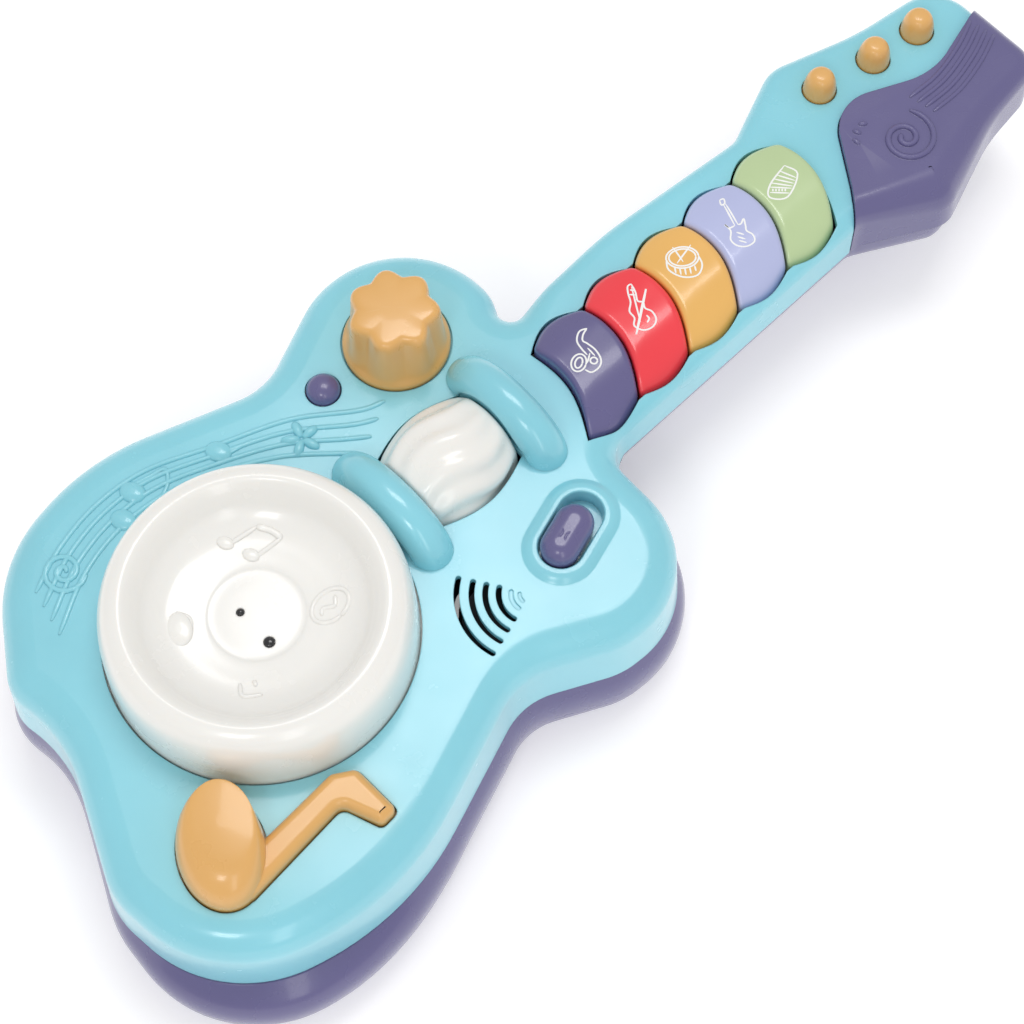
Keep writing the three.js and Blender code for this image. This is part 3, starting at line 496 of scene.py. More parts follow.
def on_neck(outline):
    return past_heel(outline) > 0


def shell_rings(outline, roll_body, roll_neck, top, bottom_body, bottom_neck, draft, extra=0.0, steps=12):
    """Wall that leans in from the seam, then rolls over to a flat top."""
    neck = on_neck(outline)
    blend = np.clip(past_heel(outline) / 18, 0, 1)
    blend = blend * blend * (3 - 2 * blend)
    roll = roll_body + (roll_neck - roll_body) * blend
    lean = draft + (0.6 - draft) * blend
    bottom = np.where(neck, bottom_neck, bottom_body)
    rings = [raised(inset(outline, extra), bottom)]
    rings.append(raised(inset(outline, extra + lean * 0.5), (bottom + top - roll) / 2))
    for k in range(steps + 1):
        a = math.pi / 2 * k / steps
        ring = inset(outline, extra + lean + roll * (1 - math.cos(a)))
        rings.append(raised(ring, top - roll + roll * math.sin(a)))
    rings.append(raised(inset(outline, extra + lean + roll + 0.35), top))
    return rings


def key_seam(index, steps=24):
    t = np.linspace(0, 1, steps + 1)
    x = KEY_LEFT + (KEY_RIGHT - KEY_LEFT) * t
    y = KEY_Y_LEFT + (KEY_Y_RIGHT - KEY_Y_LEFT) * t + KEY_PITCH * index + 4 * np.sin(math.pi * t)
    return np.column_stack([x, y])


def key_outline(index, right_bulge=2.4, left_bulge=-4.5):
    lower, upper = key_seam(index), key_seam(index + 1)[::-1]

    def side(a, b, bulge):
        t = np.linspace(0, 1, 16)[1:-1]
        p = a + (b - a) * t[:, None]
        return p + np.column_stack([bulge * np.sin(math.pi * t), np.zeros(len(t))])

    right = side(lower[-1], upper[0], right_bulge)
    left = side(upper[-1], lower[0], left_bulge)
    return np.vstack([lower, right, upper, left])


def note_outlines(grow):
    head = ellipse(*NOTE_HEAD, 17 + grow, 12.5 + grow, NOTE_TILT)
    stem = rounded_outline((
        (58.6 + grow, -56, 3), (55.4 + grow, -17, 3), (67.4 + grow, -12.3 - grow, 2.2),
        (67 + grow, -6.2 + grow, 2.2), (50.5, -6.5 + grow, 3), (46.5 - grow, -13, 3),
        (48.5 - grow, -52, 3)), 0.15, 0.2)
    return head, stem


def grille_slot(radius, z0, z1, width=1.7, start=3.72, end=5.0):
    a = np.linspace(start, end, 28)
    cap = np.linspace(0, math.pi, 7)[1:-1]

    def at(r, angle):
        return np.column_stack([GRILLE[0] + r * np.cos(angle), GRILLE[1] + r * np.sin(angle)])

    def round_end(angle, turn_from):
        centre = at(radius, np.array([angle]))[0]
        b = angle + turn_from + cap
        return centre + (width / 2) * np.column_stack([np.cos(b), np.sin(b)])

    outline = np.vstack([
        at(radius + width / 2, a), round_end(end, 0),
        at(radius - width / 2, a[::-1]), round_end(start, math.pi),
    ])
    return prism(outline, z0, z1)


def arch(y, half_span=17.0, rise=10.0, radius=6.6):
    a = np.linspace(-0.25, math.pi + 0.25, 56)
    path = np.column_stack([
        ARCH_X - half_span * np.cos(a), np.full(len(a), y), TOP - 1.2 + rise * np.sin(a),
    ])
    out = np.column_stack([-np.cos(a), np.zeros(len(a)), np.sin(a)])
    b = np.linspace(0, 2 * math.pi, 36, endpoint=False)
    rings = [p + radius * (np.cos(b)[:, None] * o + np.sin(b)[:, None] * np.array([0, 1.0, 0]))
             for p, o in zip(path, out)]
    return loft(rings)


def roller_radius(t):
    return 13.6 + 4.4 * np.sin(math.pi * t)


def roller_room(grow):
    ts = np.linspace(0, 1, 24)
    y0, y1 = ROLLER_Y0 - grow, ROLLER_Y1 + grow
    profile = [(0, y0)] + [(roller_radius(t) + grow, y0 + (y1 - y0) * t) for t in ts] + [(0, y1)]
    return lathe(profile, ROLLER_X, ROLLER_Z, 72, along_y=True)


def relief(points, radius=0.75, z=TOP, squash=0.75, per_span=8):
    path = smooth_path(points, per_span)
    return tube(raised(path, z), radius, squash)


def bead(x, y, rx, ry, tilt, height, z=TOP, levels=7):
    """Low oval pebble that stands out of a surface."""
    rings = [raised(ellipse(x, y, rx, ry, tilt, 32), z - 0.8)]
    for k in range(levels):
        a = math.pi / 2 * k / levels
        ring = ellipse(x, y, rx * math.cos(a), ry * math.cos(a), tilt, 32)
        rings.append(raised(ring, z + height * math.sin(a)))
    return loft(rings)


def staff_reliefs():
    """Four staff lines round the drum with small notes, a crossed flower and a swirl."""
    parts = []
    run = np.array([
        (-54.4, -37.7), (-60.5, -24), (-63.9, -7.3), (-62.5, 10.7),
        (-54.3, 31.2), (-45.5, 52.9), (-33.5, 70), (-30.4, 77.9),
    ])
    inner = np.array([
        (-39.5, -41.1), (-49, -24), (-53.2, -7.3), (-52.6, 9),
        (-46.5, 27), (-38, 43), (-27, 56), (-21.4, 61.5),
    ])
    for k in range(4):
        parts.append(relief(run + (inner - run) * k / 3, 0.75, TOP + 0.1, 0.8))
    for x, y, tilt in ((-52.2, 30.5, 0.5), (-59.6, 3.3, 0.4), (-54.6, -4.4, 0.4)):
        parts.append(bead(x, y, 4.1, 3.3, tilt, 1.5))
    parts.append(relief([(-49.8, 31.5), (-48.9, 36), (-48, 40.5)], 0.6, TOP + 0.2))
    flag = [(-61.5, 4.5), (-60.2, 10), (-58.8, 15.2), (-54.5, 12.5), (-52.3, 8)]
    parts.append(relief(flag, 0.6, TOP + 0.2))
    for k in range(5):
        a = 2 * math.pi * k / 5 + 0.3
        x, y = -38.2 + 3.3 * math.cos(a), 51.3 + 3.3 * math.sin(a)
        parts.append(bead(x, y, 2.9, 1.5, a, 1.5))
    t = np.linspace(0.4, 4.2 * math.pi, 34)
    swirl = np.column_stack([-54 + 0.53 * t * np.cos(t), -27.5 + 0.53 * t * np.sin(t)])
    parts.append(tube(raised(swirl, TOP + 0.2), 0.8, 0.8))
    return parts


outer = loft(shell_rings(
    shell_outline, BODY_ROLL, NECK_ROLL, TOP, SEAM + 0.15, NECK_SEAM + 0.15, 1.2))
cavity = loft(shell_rings(
    shell_outline, BODY_ROLL - 1.5, NECK_ROLL - 1.5, TOP - WALL, SEAM - 2, NECK_SEAM - 2, 1.2, 2.2, 5))
# The keys share one opening: up their right sides, over the last key and down their left sides.
key_hole = np.vstack([
    key_outline(0)[:25], *[key_outline(i)[25:39] for i in range(KEY_COUNT)],
    key_outline(KEY_COUNT - 1)[39:64], *[key_outline(i)[64:] for i in reversed(range(KEY_COUNT))],
])
rim_rings = [
    (TOP - 5.5, 0), (TOP - 0.1, 0), (TOP + 0.15, 0.5), (TOP + 0.6, 1.2),
    (TOP + 1.15, 1.9), (TOP + 1.55, 2.7), (TOP + 1.7, 3.5), (TOP + 1.7, 4.0),
]
rim = loft([raised(pill(*SWITCH, 36.5 - 2 * k, 24 - 2 * k, SWITCH_ANGLE), z) for z, k in rim_rings])
recess = loft([raised(pill(*SWITCH, 26 + g, 13.6 + g, SWITCH_ANGLE), z) for z, g in
               ((TOP - 4, -0.8), (TOP + 1.0, 0), (TOP + 1.5, 0.4), (TOP + 1.9, 1.4), (TOP + 5, 2))])
shell = combine(outer, [cavity], "DIFFERENCE")
shell = combine(shell, [rim, *(arch(y) for y in ARCH_YS), *staff_reliefs()], "UNION")
holes = [
    prism(circle(*DRUM, DRUM_R + 0.5, 160), TOP - 9, TOP + 6),
    prism(circle(*KNOB, 17.1, 96), TOP - 1.4, TOP + 4),
    prism(circle(*KNOB, 3.4, 40), TOP - 9, TOP + 1),
    prism(circle(*DOME, 5.6, 48), TOP - 9, TOP + 4),
    recess,
    prism(pill(*SWITCH, 14, 4, SWITCH_ANGLE), TOP - 12, TOP),
    *[grille_slot(r, TOP - 5, TOP + 3) for r in (21.3, 16.9, 12.9, 9)],
    grille_slot(5.4, TOP - 0.6, TOP + 3, 1.3, 3.8, 4.9),
    grille_slot(2.9, TOP - 0.4, TOP + 3, 1.0, 3.9, 4.8),
    *[prism(circle(x, y, 5.7, 48), TOP - 9, TOP + 4) for x, y in PEGS],
    *[prism(o, TOP - 9, TOP + 4) for o in note_outlines(0.45)],
    prism(inset(drop_close(key_hole, 0.25), -0.4), TOP - 9, TOP + 9),
    roller_room(0.5),
    prism(cover_region, NECK_SEAM - 6, TOP + 9),
]
shell = combine(shell, holes, "DIFFERENCE")
piece("upper_case", shell, "case", AQUA, ["upper_shell"], sharp=32)

# Height, inset and share of the swelling at each level of the tub.
TUB_LEVELS = (
    (0, 5.4, 0.55), (0.5, 3.6, 0.75), (1.8, 1.8, 0.9), (6, -0.9, 1),
    (14, -1.8, 1), (20, -1.2, 0.75), (24.85, 0.3, 0.1),
)


def eased(value, start, stop):
    t = np.clip((value - start) / (stop - start), 0, 1)
    return t * t * (3 - 2 * t)


def tub_bulge(outline):
    """The tub swells past the upper case most at the lower right and hardly at all on the left."""
    x, y = outline[:, 0], outline[:, 1]
    return 1.6 * eased(x, 0, 60) - 0.4 + 5.9 * eased(x, 20, 75) * eased(-y, -10, 60)


tub_rings = [raised(inset(tub_outline, k - share * tub_bulge(tub_outline)), max(z, 0))
             for z, k, share in smooth_path(TUB_LEVELS, 4)]
tub = loft([raised(inset(tub_outline, 9), 0), *tub_rings])
hollow_levels = ((WALL, 7.4), (7, 2.6), (SEAM + 2, 3.0))
tub_hollow = loft([raised(inset(tub_outline, k), z) for z, k in hollow_levels])
back_profile = smooth_path([
    (NECK_BACK, 8), (NECK_BACK + 0.7, 6.2), (NECK_BACK + 3, 4), (NECK_BACK + 8, 2.2),
    (NECK_SEAM - 0.15, 1.5),
], 4)
neck_back = loft([raised(inset(back_outline, min(k, 8)), max(z, NECK_BACK)) for z, k in back_profile])
lower = combine(tub, [tub_hollow], "DIFFERENCE")
back_hollow_levels = ((NECK_BACK + WALL, 8.6), (NECK_BACK + 9, 4.6), (NECK_SEAM + 1, 4.2))
back_hollow = loft([raised(inset(back_outline, k), z) for z, k in back_hollow_levels])
neck_back = combine(neck_back, [back_hollow], "DIFFERENCE")
hatch_x, hatch_y, hatch_w, hatch_l, hatch_screw = HATCH


def box(x, y, w, l, z0, z1):
    corners = [(-1, -1), (1, -1), (1, 1), (-1, 1)]
    return prism(np.array([(x + i * w / 2, y + j * l / 2) for i, j in corners]), z0, z1)


body_screws = [(x, y) for x, y, z in CASE_SCREWS if not z]
lower = combine(lower, [box(hatch_x, hatch_y, hatch_w + 4, hatch_l + 4, 1, 20)], "UNION")
lower = combine(lower, [prism(circle(x, y, 4.8, 32), 1, SEAM - 0.5) for x, y in body_screws], "UNION")
lower = combine(lower, [
    box(hatch_x, hatch_y, hatch_w - 3, hatch_l - 3, -1, 18.5),
    box(hatch_x, hatch_y, hatch_w + 0.6, hatch_l + 0.6, -1, 2.5),
    prism(circle(hatch_x, hatch_screw, 3.8, 40), -1, 2.5),
    *[prism(circle(x, y, 3.2, 32), -2, 9) for x, y in body_screws],
], "DIFFERENCE")
neck_wells = [prism(circle(x, y, 3.2, 32), z - 2, z + 9) for x, y, z in CASE_SCREWS if z]
neck_back = combine(neck_back, neck_wells, "DIFFERENCE")
piece("lower_case", lower, "case", SLATE, ["lower_shell"], sharp=32)
piece("neck_back", neck_back, "case", SLATE, sharp=32)


def headstock_cover():
    outline = shell_outline
    top = TOP + COVER_RISE
    x, y = outline[:, 0], outline[:, 1]
    shoulder = np.exp(-((y - 262) / 26) ** 2) * (x > 10)
    roll = NECK_ROLL + 5 * shoulder
    rings = [raised(outline, NECK_SEAM + 0.15)]
    for k in range(13):
        a = math.pi / 2 * k / 12
        ring = inset(outline, 0.6 + roll * (1 - math.cos(a)))
        rings.append(raised(ring, top - roll + roll * math.sin(a)))
    rings.append(raised(inset(outline, 0.95 + roll), top))
    region = prism(inset(cover_region, 0.3), NECK_SEAM - 3, TOP + 9)
    cover = combine(loft(rings), [region], "INTERSECT")
    inner = loft(shell_rings(outline, 8, 5, top - WALL, NECK_SEAM - 2, NECK_SEAM - 2, 1.2, 2.6, 4))
    hollow = combine(inner, [prism(inset(cover_region, 2.6), NECK_SEAM - 6, TOP + 9)], "INTERSECT")
    cover = combine(cover, [hollow], "DIFFERENCE")

    def skin(points, lift=0.0):
        gap = edge_distance(points, outline) - 0.6
        depth = np.clip(NECK_ROLL - gap, 0, NECK_ROLL)
        return np.column_stack([points, top - NECK_ROLL + np.sqrt(NECK_ROLL ** 2 - depth ** 2) + lift])

    marks = []
    string = np.array([(6.1, 271.4), (6.3, 284), (3.6, 297), (-0.2, 307.4)])
    for k in range(4):
        path = smooth_path(string + [2.95 * k, 0.5 * k], 8)
        marks.append(tube(skin(path, 0.05), 0.7, 0.85))
    t = np.linspace(0.9, 4.0 * math.pi, 64)
    radius = 1.2 + 0.2 * t + 0.043 * t * t
    spiral = np.column_stack([15.6 + radius * np.cos(2.2 + t), 259.2 + radius * np.sin(2.2 + t)])
    marks.append(tube(raised(spiral, top + 0.15), 0.95, 0.9))
    for x, y, tilt in ((2.6, 253.2, 0.9), (3.4, 249.6, 0.4), (5.7, 246.9, 0.0)):
        marks.append(bead(x, y, 1.5, 0.8, tilt, 0.8, top))
    return combine(cover, marks, "UNION")


piece("headstock_trim", headstock_cover(), "case", SLATE, ["headstock_cover"], sharp=32)


# ------------------------------------------------------------------ drum pad
def drum():
    top = TOP + DRUM_RISE
    dish = [
        (0, 13), (8, 13), (13.4, 13), (15, 13.4), (20, 13.9), (26, 14.7), (31, 17.3),
        (33.6, 20.7), (35.4, 23.1),
    ]
    rim = [(37.6, 0), (40.2, -0.5), (42.8, -2.6), (44.5, -6.6), (45.3, -12)]
    outside = [(r, TOP + z) for r, z in dish] + [(r, top + z) for r, z in rim]
    outside += [(45.7, TOP + 4), (DRUM_R, TOP - 1), (DRUM_R, LIP)]
    curve = smooth_path(outside, 5)
    curve[:, 0] = np.maximum(curve[:, 0], 0)
    skirt = [
        (48.5, LIP - 0.01), (48.5, LIP - 1.5), (43.6, LIP - 1.5), (42.6, TOP + 12), (37.5, top - 3),
        (34, TOP + 16.2), (26, TOP + 11.8), (5, TOP + 10.4), (5, TOP - 2), (0, TOP - 2),
    ]
    profile = [tuple(p) for p in curve] + skirt
    return lathe(profile, *DRUM, 160)


def dish_z(x, y):
    r = math.hypot(x - DRUM[0], y - DRUM[1])
    return TOP + float(np.interp(r, [0, 13.4, 15, 20, 26, 31], [13, 13, 13.4, 13.9, 14.7, 17.3]))


def dish_relief(points, radius, per_span=8):
    path = smooth_path(points, per_span)
    return tube([(x, y, dish_z(x, y)) for x, y in path], radius, 0.7)


def dish_bead(x, y, rx, ry, tilt, height):
    return bead(x, y, rx, ry, tilt, height, dish_z(x, y))


def drum_reliefs():
    """Faint raised pictures in the dish: two joined notes, an ear, a smile and a small drum."""
    parts = [
        dish_relief([(-21.5, 10), (-20, 19.5)], 0.7), dish_relief([(-13.5, 13), (-12.6, 22.5)], 0.7),
        dish_relief([(-20, 19.5), (-16.4, 21.6), (-12.6, 22.5)], 1.0),
        dish_bead(-22.6, 9.6, 2.6, 1.9, 0.4, 0.9), dish_bead(-14.9, 12.6, 2.6, 1.9, 0.4, 0.9),
        dish_bead(-11.5, -17.1, 5.2, 3.6, -0.5, 0.9),
        dish_relief([(-16, -14.5), (-11.8, -12.9), (-7.2, -16.6)], 0.5),
        dish_relief([(12.6, -15.5), (16.2, -17.4), (19.6, -13.2)], 0.6),
        dish_relief([(14.6, -12), (16.4, -12.7)], 0.6),
    ]
    t = np.linspace(0, 2 * math.pi, 30)
    parts.append(dish_relief(np.column_stack([12.6 + 4.4 * np.cos(t), 18.6 + 6 * np.sin(t)]), 0.65, 2))
    parts.append(dish_relief([(11.2, 21.6), (13.4, 19.5), (11.8, 16.6), (13, 14.8)], 0.6))
    return parts


drum_mesh = combine(drum(), drum_reliefs(), "UNION")
eyes = ((DRUM[0] - 3.8, DRUM[1] - 3.0, 1.1), (DRUM[0] + 8.7, DRUM[1] - 3.0, 1.6))
sockets = [prism(circle(x, y, r + 0.15, 32), TOP + 11.4, TOP + 16) for x, y, r in eyes]
drum_mesh = combine(drum_mesh, sockets, "DIFFERENCE")
piece("drum_dish", drum_mesh, "drum", IVORY, ["drum_pad"], sharp=40)
for name, (x, y, r) in zip(("eye_left", "eye_right"), eyes):
    quarter = np.linspace(0, math.pi / 2, 8)[1:-1]
    dome = [(0, TOP + 11.7), (r, TOP + 11.7), (r, TOP + 13.0)]
    dome += [(r * math.cos(a), TOP + 13.0 + 0.7 * math.sin(a)) for a in quarter] + [(0, TOP + 13.7)]
    piece(f"{name}_bead", lathe(dome, x, y, 32), "drum", BLACK, [name])


# ------------------------------------------------------------------ neck keys
def key_top(x):
    """Height of the row of keys across the neck: nearly level on the left, falling away to the right."""
    left = 0.021 * np.maximum(0, -2 - x) ** 2
    right = 0.00078 * np.maximum(0, x - 1) ** 3
    return TOP + 4.8 - left - right


def key_plan(index):
    """Outline of one cap from above, with its corners eased."""
    loop = evenly(inset(drop_close(key_outline(index), 0.3), 0.3), 0.4)
    for _ in range(14):
        loop = (np.roll(loop, 1, axis=0) + 2 * loop + np.roll(loop, -1, axis=0)) / 4
    return evenly(loop, 0.7)


def key_cap(index, roll=1.9):
    plan = key_plan(index)
    centre = (key_seam(index)[12] + key_seam(index + 1)[12]) / 2

    def skin(points):
        gap = np.minimum(edge_distance(points, plan), roll)
        return key_top(points[:, 0]) - roll + np.sqrt(roll ** 2 - (roll - gap) ** 2)

    rings = [raised(plan, TOP - 8), raised(plan, (TOP - 8 + skin(plan)) / 2)]
    for s in (1, 0.993, 0.98, 0.962, 0.94, 0.91, 0.875, 0.84, 0.8,
              0.74, 0.67, 0.59, 0.5, 0.4, 0.3, 0.2, 0.1, 0.03):
        ring = centre + (plan - centre) * s
        rings.append(raised(ring, skin(ring)))
    y = KEY_Y_LEFT - 3.5 + KEY_PITCH * (index + 0.5)
    return joined([loft(rings), box(6, y, 20, 8, TOP - 9.5, TOP - 8.05)])


def ring_of(x, y, rx, ry, tilt=0.0, steps=20):
    return ellipse(x, y, rx, ry, tilt, steps)[list(range(steps)) + [0]]


def key_pictures():
    """Line drawings for the keys: open or closed strokes in mm about each picture's middle."""
    saxophone = [
        [(0.2, 7.6), (-2.2, 6.5), (-3, 3.2), (-1.7, 0.5), (0.2, -1.9)],
        [(0.2, 7.6), (-1, 5.4), (-1.2, 3.2), (0.2, 2.2), (2.7, 0), (4.4, -3.2), (3.9, -5.9),
         (1.5, -7.8), (-0.6, -7)],
        ring_of(-2.5, -4.6, 2.3, 3.1, -0.3), ring_of(-2.5, -4.6, 1.1, 1.9, -0.3),
        ring_of(2.2, -3.8, 1.1, 1.1),
        [(0.3, 0.6), (2.6, -2.2)], [(1.0, -1.2), (0.2, -4.6)],
    ]
    violin = [
        [(-3.2, 9.2), (-4.3, 8.2), (-4.2, 5.5), (-3.5, 2.4), (-3.9, -0.9), (-2.4, -3.2), (-2.5, -6),
         (0.3, -7.4), (3.2, -6.2), (4.4, -3.6), (3.2, -0.9), (1, 0.3), (0.4, 2.4), (-1.3, 2.9),
         (-1.9, 6), (-3.2, 9.2)],
        [(-3.1, 8), (-0.6, -4.6)], [(1.3, 7.2), (-2.1, -9)], [(1.6, 7.1), (-1.8, -9)],
        [(1.4, -2.2), (2.2, -3.4), (1.5, -4.8)], [(-2.2, 6.6), (-3.6, 6.9)], [(-2, 5), (-3.8, 5.2)],
    ]
    drum_picture = [
        ring_of(0, 0.4, 5.2, 3.9, 0.1), ring_of(0, 0.4, 4.3, 3.1, 0.1),
        [(-5.2, -0.3), (-4.4, -4.2), (0, -6.7), (4.6, -6), (6.2, -2.4), (5.1, 1.2)],
        [(-3, 4.4), (0.2, -1.2)], [(2.8, 5), (-1.8, -1.8)],
        *[[(x, -3.3 + 0.05 * x * x), (x + 0.4, -6 + 0.1 * x * x)] for x in (-2.6, -1, 0.6, 2.2, 3.8)],
    ]
    guitar = [
        [(-4.7, 8.8), (-3.4, 9.2), (-3.1, 7.4), (-4.2, 6.8), (-4.7, 8.8)],
        [(-3.6, 7), (-0.2, -1.2)], [(-2.9, 7.2), (0.8, -0.8)],
        [(-0.3, -1.2), (-2, -2), (-3.4, -0.8), (-1.6, -3.1), (-1.7, -6.4), (0.3, -8.4), (3.4, -8.5),
         (5.9, -6.6), (5.4, -4.3), (3.5, -3), (3.2, -1.2), (2.7, 1.4), (1.8, -0.4), (0.8, -0.8)],
        [(0.2, -3.6), (2.6, -4.4)], [(0.5, -5.2), (3, -6)], [(0.9, -6.6), (3.3, -7.2)],
    ]
    accordion = [
        [(0.7, 6), (4.8, 2.8), (1.2, -5.8), (-4.6, -6), (-4.2, -1.2), (0.7, 6)],
        *[[(-4.0 + 1.0 * k, -0.6 + 1.5 * k), (2.9 + 0.45 * k, -1.8 + 1.05 * k)] for k in range(4)],
        [(-4.3, -2.2), (2.6, -2.6)], [(-4.4, -4.2), (1.8, -4.4)],
        *[[(x, -2.8), (x - 0.1, -3.8)] for x in (-3.4, -2.4, -1.4, -0.4, 0.6)],
    ]
    return saxophone, violin, drum_picture, guitar, accordion


PICTURE_MIDDLES = ((0.8, 132.3), (2.4, 154.3), (-1.5, 175.8), (0.8, 196.8), (0.7, 218.3))
PICTURE_SIZE = 0.97


def picture(strokes, middle, width=0.28):
    bars = []
    for stroke in strokes:
        p = np.asarray(stroke, float) * PICTURE_SIZE
        if len(p) > 2:
            p = smooth_path(p, 5)
        else:
            p = np.linspace(p[0], p[1], 6)
        c, s_ = math.cos(VIEW_SWING), math.sin(VIEW_SWING)
        flat = np.column_stack([p[:, 0] * s_ - p[:, 1] * c, p[:, 0] * c + p[:, 1] * s_]) + middle
        bars.append(tube(np.column_stack([flat, key_top(flat[:, 0]) + 0.01]), width, 0.35, 6))
    return joined(bars)


KEY_COLOURS = (("slate", SLATE), ("red", RED), ("orange", ORANGE), ("lavender", LAVENDER), ("green", GREEN))
for index, (word, material) in enumerate(KEY_COLOURS):
    body = f"key_{word}"
    piece(f"{word}_key_cap", key_cap(index), body, material, [body], sharp=60)
    drawing = picture(key_pictures()[index], PICTURE_MIDDLES[index])
    piece(f"{word}_key_picture", drawing, body, INK)


# ------------------------------------------------------------------ note button
def note():
    head, stem = note_outlines(0)
    centre = np.array(NOTE_HEAD)
    top_centre = np.array([37.6, -43.9])
    rings = [raised(head, LIP), raised(head, TOP + 1.0)]
    for k in range(1, 14):
        a = math.pi / 2 * k / 14
        s = 1 - 0.32 * (1 - math.cos(a))
        shift = (top_centre - centre) * (1 - math.cos(a)) * 0.9
        rings.append(raised(centre + shift + (head - centre) * s, TOP + 1 + 11.0 * math.sin(a)))
    crown = rings[-1]
    middle = crown[:, :2].mean(0)
    for k in range(1, 9):
        s = 1 - k / 9
        z = TOP + 12.0 + 0.5 * (1 - s * s)
        rings.append(raised(middle + (crown[:, :2] - middle) * s, z))
    head_solid = loft(rings)
    stem_rings = [raised(stem, LIP), raised(stem, TOP + 1.6)]
    for k in range(1, 9):
        a = math.pi / 2 * k / 8
        stem_rings.append(raised(inset(stem, 2.7 * (1 - math.cos(a))), TOP + 1.6 + 3.0 * math.sin(a)))
    wide = note_outlines(1.4)
    flange = [prism(o, LIP - 1.5, LIP) for o in wide]
    body = combine(head_solid, [loft(stem_rings), *flange], "UNION")
    cuts = [
        prism(circle(*DRUM, 49, 120), LIP - 2, LIP + 0.6),
        prism(ellipse(*NOTE_HEAD, 13, 9, NOTE_TILT), LIP - 3, TOP + 3),
    ]
    return combine(body, cuts, "DIFFERENCE")


piece("note_cap", note(), "note", TAN, ["note_button"], sharp=42)


# ------------------------------------------------------------------ round controls
def push_cap(x, y, radius, rise, shape, steps=64):
    side = [(radius, LIP), (radius, TOP)]
    quarter = np.linspace(0, math.pi / 2, 16)[1:-1]
    side += [(radius * math.cos(a) ** shape, TOP + rise * math.sin(a)) for a in quarter]
    stem = [(0, LIP - 3.5), (1.6, LIP - 3.5), (1.6, LIP - 1.2)]
    flange = [(radius + 1.4, LIP - 1.2), (radius + 1.4, LIP)]
    return lathe(stem + flange + side + [(0, TOP + rise)], x, y, steps)


piece("dome_cap", push_cap(*DOME, 5.2, 4.2, 0.9), "dome", SLATE, ["dome_button"])
for i, (x, y) in enumerate(PEGS, 1):
    piece(f"peg_cap_{i}", push_cap(x, y, 5.3, 8.8, 0.55), f"peg_{i}", TAN, [f"peg_{i}"])


def knob_solid(lobes=7):
    a = np.linspace(0, 2 * math.pi, 252, endpoint=False)
    wave = 0.5 + 0.5 * np.cos(lobes * a + 0.6)
    wave = wave ** 0.8

    def ring(radius, depth, z):
        r = radius - depth * (1 - wave)
        return np.column_stack([KNOB[0] + r * np.cos(a), KNOB[1] + r * np.sin(a), np.full(len(a), TOP + z)])

    # Outer radius, depth of the grooves between the lobes, height above the case.
    levels = [
        (16.5, 0, -1.1), (16.6, 0, 0.3), (16.45, 0, 1.2), (16.1, 0.1, 1.9), (15.7, 0.3, 2.4),
        (15.3, 0.7, 3.4), (15.0, 1.2, 5.5), (14.7, 1.8, 9), (14.4, 2.1, 13.5), (14.2, 2.25, 17.0),
        (14.05, 2.3, 19.0), (13.7, 2.3, 20.2), (13.1, 2.25, 20.95), (12.4, 2.15, 21.3),
        (11.6, 2.0, 21.45), (10.4, 1.5, 21.55), (8.4, 0.9, 21.65), (6, 0.4, 21.75), (4, 0.1, 21.8),
        (2, 0, 21.82), (0.3, 0, 21.83),
    ]
    return joined([loft([ring(*level) for level in levels]), prism(circle(*KNOB, 3, 32), TOP - 12, TOP)])


piece("knob_cap", knob_solid(), "knob", TAN, ["knob"], sharp=60)


def roller_barrel():
    steps = 216
    a = np.linspace(0, 2 * math.pi, steps, endpoint=False)
    rings = []
    for t in np.linspace(0, 1, 48):
        edge = min(t, 1 - t) * 34
        ease = math.sqrt(max(0.0, 1 - (1 - min(edge / 1.6, 1)) ** 2))
        wave = np.cos(11 * (a + 0.13 * math.sin(2 * math.pi * t)) + 0.5)
        r = roller_radius(t) - 0.5 + (0.5 * wave - 0.1) * min(1, edge / 4) - 1.6 * (1 - ease)
        y = ROLLER_Y0 + (ROLLER_Y1 - ROLLER_Y0) * t
        rings.append(np.column_stack([ROLLER_X + r * np.sin(a), np.full(steps, y), ROLLER_Z + r * np.cos(a)]))
    start, stop = ROLLER_Y0 - 2, ROLLER_Y1 + 2
    bore = lathe([(0, start), (1.8, start), (1.8, stop), (0, stop)], ROLLER_X, ROLLER_Z, 32, True)
    return combine(loft(rings), [bore], "DIFFERENCE")


piece("roller_barrel", roller_barrel(), "roller", IVORY, ["roller"], sharp=50)


def slider():
    along = turn([(0, -2.5)], SWITCH_ANGLE)[0]
    x, y = SWITCH[0] + along[0], SWITCH[1] + along[1]
    rings = [
        raised(pill(x, y, 19.7, 11.2, SWITCH_ANGLE), TOP - 3.7),
        raised(pill(x, y, 20.5, 12, SWITCH_ANGLE), TOP + 2.4),
    ]
    for k in range(1, 11):
        a = math.pi / 2 * k / 10
        g = 2 * 4.9 * (1 - math.cos(a))
        rings.append(raised(pill(x, y, 20.5 - g, 12 - g, SWITCH_ANGLE), TOP + 2.4 + 4.8 * math.sin(a)))
    cap = loft(rings)
    post = prism(pill(x, y, 5, 3.2, SWITCH_ANGLE), TOP - 11, TOP - 2)
    marks = []
    for s in (-1, 1):
        t = np.linspace(-1, 1, 9)
        p = turn(np.column_stack([s * (0.7 + 0.9 * t * t), -2.0 + 2.1 * t]), SWITCH_ANGLE, (x, y))
        marks.append(tube(np.column_stack([p, TOP + 7.15 - 0.35 * t * t]), 0.4, 0.8))
    return combine(cap, [post, *marks], "UNION")


piece("slider_cap", slider(), "slider", SLATE, ["switch_slider"], sharp=45)

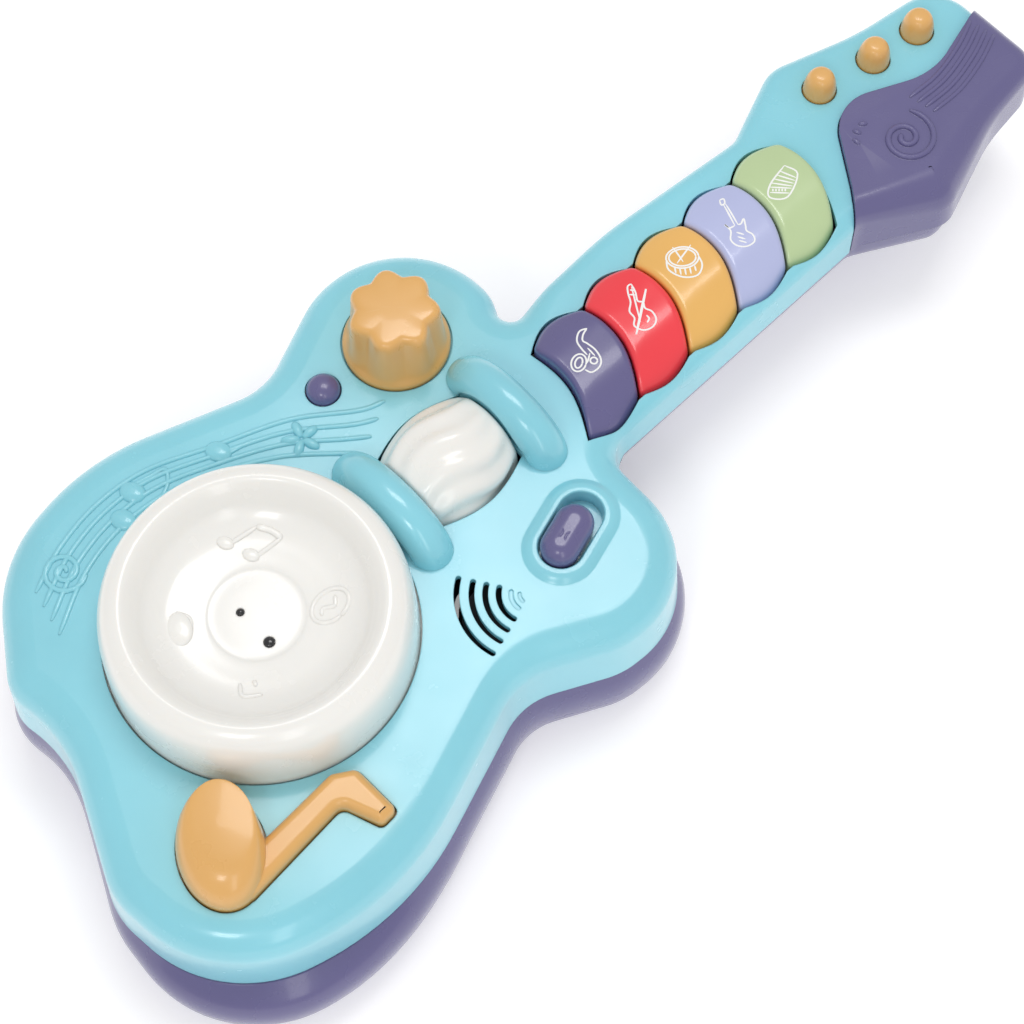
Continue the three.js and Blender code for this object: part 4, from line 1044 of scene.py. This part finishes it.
# ------------------------------------------------------------------ CAD nodes that stay
FINISHES = {
    "roller_axle": STEEL, "knob_encoder": STEEL, "slide_switch": BLACK, "key_membrane": RUBBER,
    "key_board": BOARD, "main_board": BOARD, "peg_board": BOARD, "drum_switch": BLACK,
    "drum_light": IVORY, "note_switch": BLACK, "dome_switch": BLACK, "speaker_frame": BLACK,
    "speaker_cone": PAPER, "contact_front": STEEL, "contact_back": STEEL, "battery_cover": SLATE,
    "battery_screw": STEEL,
}
FINISHES.update({f"case_screw_{i}": STEEL for i in range(1, 7)})
FINISHES.update({f"battery_{i}": JACKET for i in range(1, 4)})
FINISHES.update({f"peg_switch_{i}": BLACK for i in range(1, 4)})
for name, material in FINISHES.items():
    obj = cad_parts[name]
    obj.data.materials.clear()
    obj.data.materials.append(material)

# ------------------------------------------------------------------ floor, lights, camera
def studio():
    floor_mesh = bpy.data.meshes.new("floor")
    s = 6.0
    floor_mesh.from_pydata([(-s, -s, 0), (s, -s, 0), (s, s, 0), (-s, s, 0)], [], [(0, 1, 2, 3)])
    floor = bpy.data.objects.new("floor", floor_mesh)
    bpy.context.scene.collection.objects.link(floor)
    mat = bpy.data.materials.new("pale_floor")
    mat.use_nodes = True
    shader = mat.node_tree.nodes["Principled BSDF"]
    shader.inputs["Base Color"].default_value = (0.9, 0.9, 0.9, 1)
    shader.inputs["Emission Color"].default_value = (1, 1, 1, 1)
    shader.inputs["Emission Strength"].default_value = 0.3
    shader.inputs["Roughness"].default_value = 0.85
    floor_mesh.materials.append(mat)
    floor.location.z = -0.0005

    world = bpy.data.worlds.new("studio")
    bpy.context.scene.world = world
    world.use_nodes = True
    world.node_tree.nodes["Background"].inputs["Color"].default_value = (1, 1, 1, 1)
    world.node_tree.nodes["Background"].inputs["Strength"].default_value = 0.64

    def softbox(name, place, aim, size, power):
        light = bpy.data.lights.new(name, "AREA")
        light.shape = "RECTANGLE"
        light.size, light.size_y = size
        light.energy = power
        obj = bpy.data.objects.new(name, light)
        bpy.context.scene.collection.objects.link(obj)
        obj.location = place
        obj.rotation_mode = "QUATERNION"
        obj.rotation_quaternion = (Vector(aim) - Vector(place)).to_track_quat("-Z", "Y")

    softbox("top", (-0.25, 0.35, 1.5), (0, 0, 0.03), (0.7, 0.45), 5.8)
    softbox("side", (0.95, -0.55, 0.75), (0, 0, 0.03), (0.22, 0.9), 1.5)
    softbox("window", (0.45, -0.9, 1.2), (0, 0, 0.03), (0.3, 0.3), 2.2)


CAMERA_AIM = (22.5904, 80.3254)
CAMERA_DISTANCE = 709.2153
CAMERA_LENS, SENSOR_WIDTH = 84.41015625, 36.0


def camera():
    """Looks down at 66 degrees, from the lower right of the guitar."""
    swing, level = VIEW_SWING, math.cos(VIEW_ELEVATION)
    aim = np.array([*CAMERA_AIM, TOP])
    back = np.array([level * math.cos(swing), -level * math.sin(swing), math.sin(VIEW_ELEVATION)])
    data = bpy.data.cameras.new("camera")
    data.lens, data.sensor_width = CAMERA_LENS, SENSOR_WIDTH
    data.clip_start, data.clip_end = 0.01, 20
    cam = bpy.data.objects.new("camera", data)
    bpy.context.scene.collection.objects.link(cam)
    right = Vector((math.sin(swing), math.cos(swing), 0))
    back_v = Vector(back)
    up = back_v.cross(right)
    rotation = Matrix((right, up, back_v)).transposed().to_4x4()
    cam.matrix_world = Matrix.Translation(Vector(to_row(aim + back * CAMERA_DISTANCE))) @ rotation
    bpy.context.scene.camera = cam


studio()
camera()
bpy.context.scene.view_settings.view_transform = "Standard"
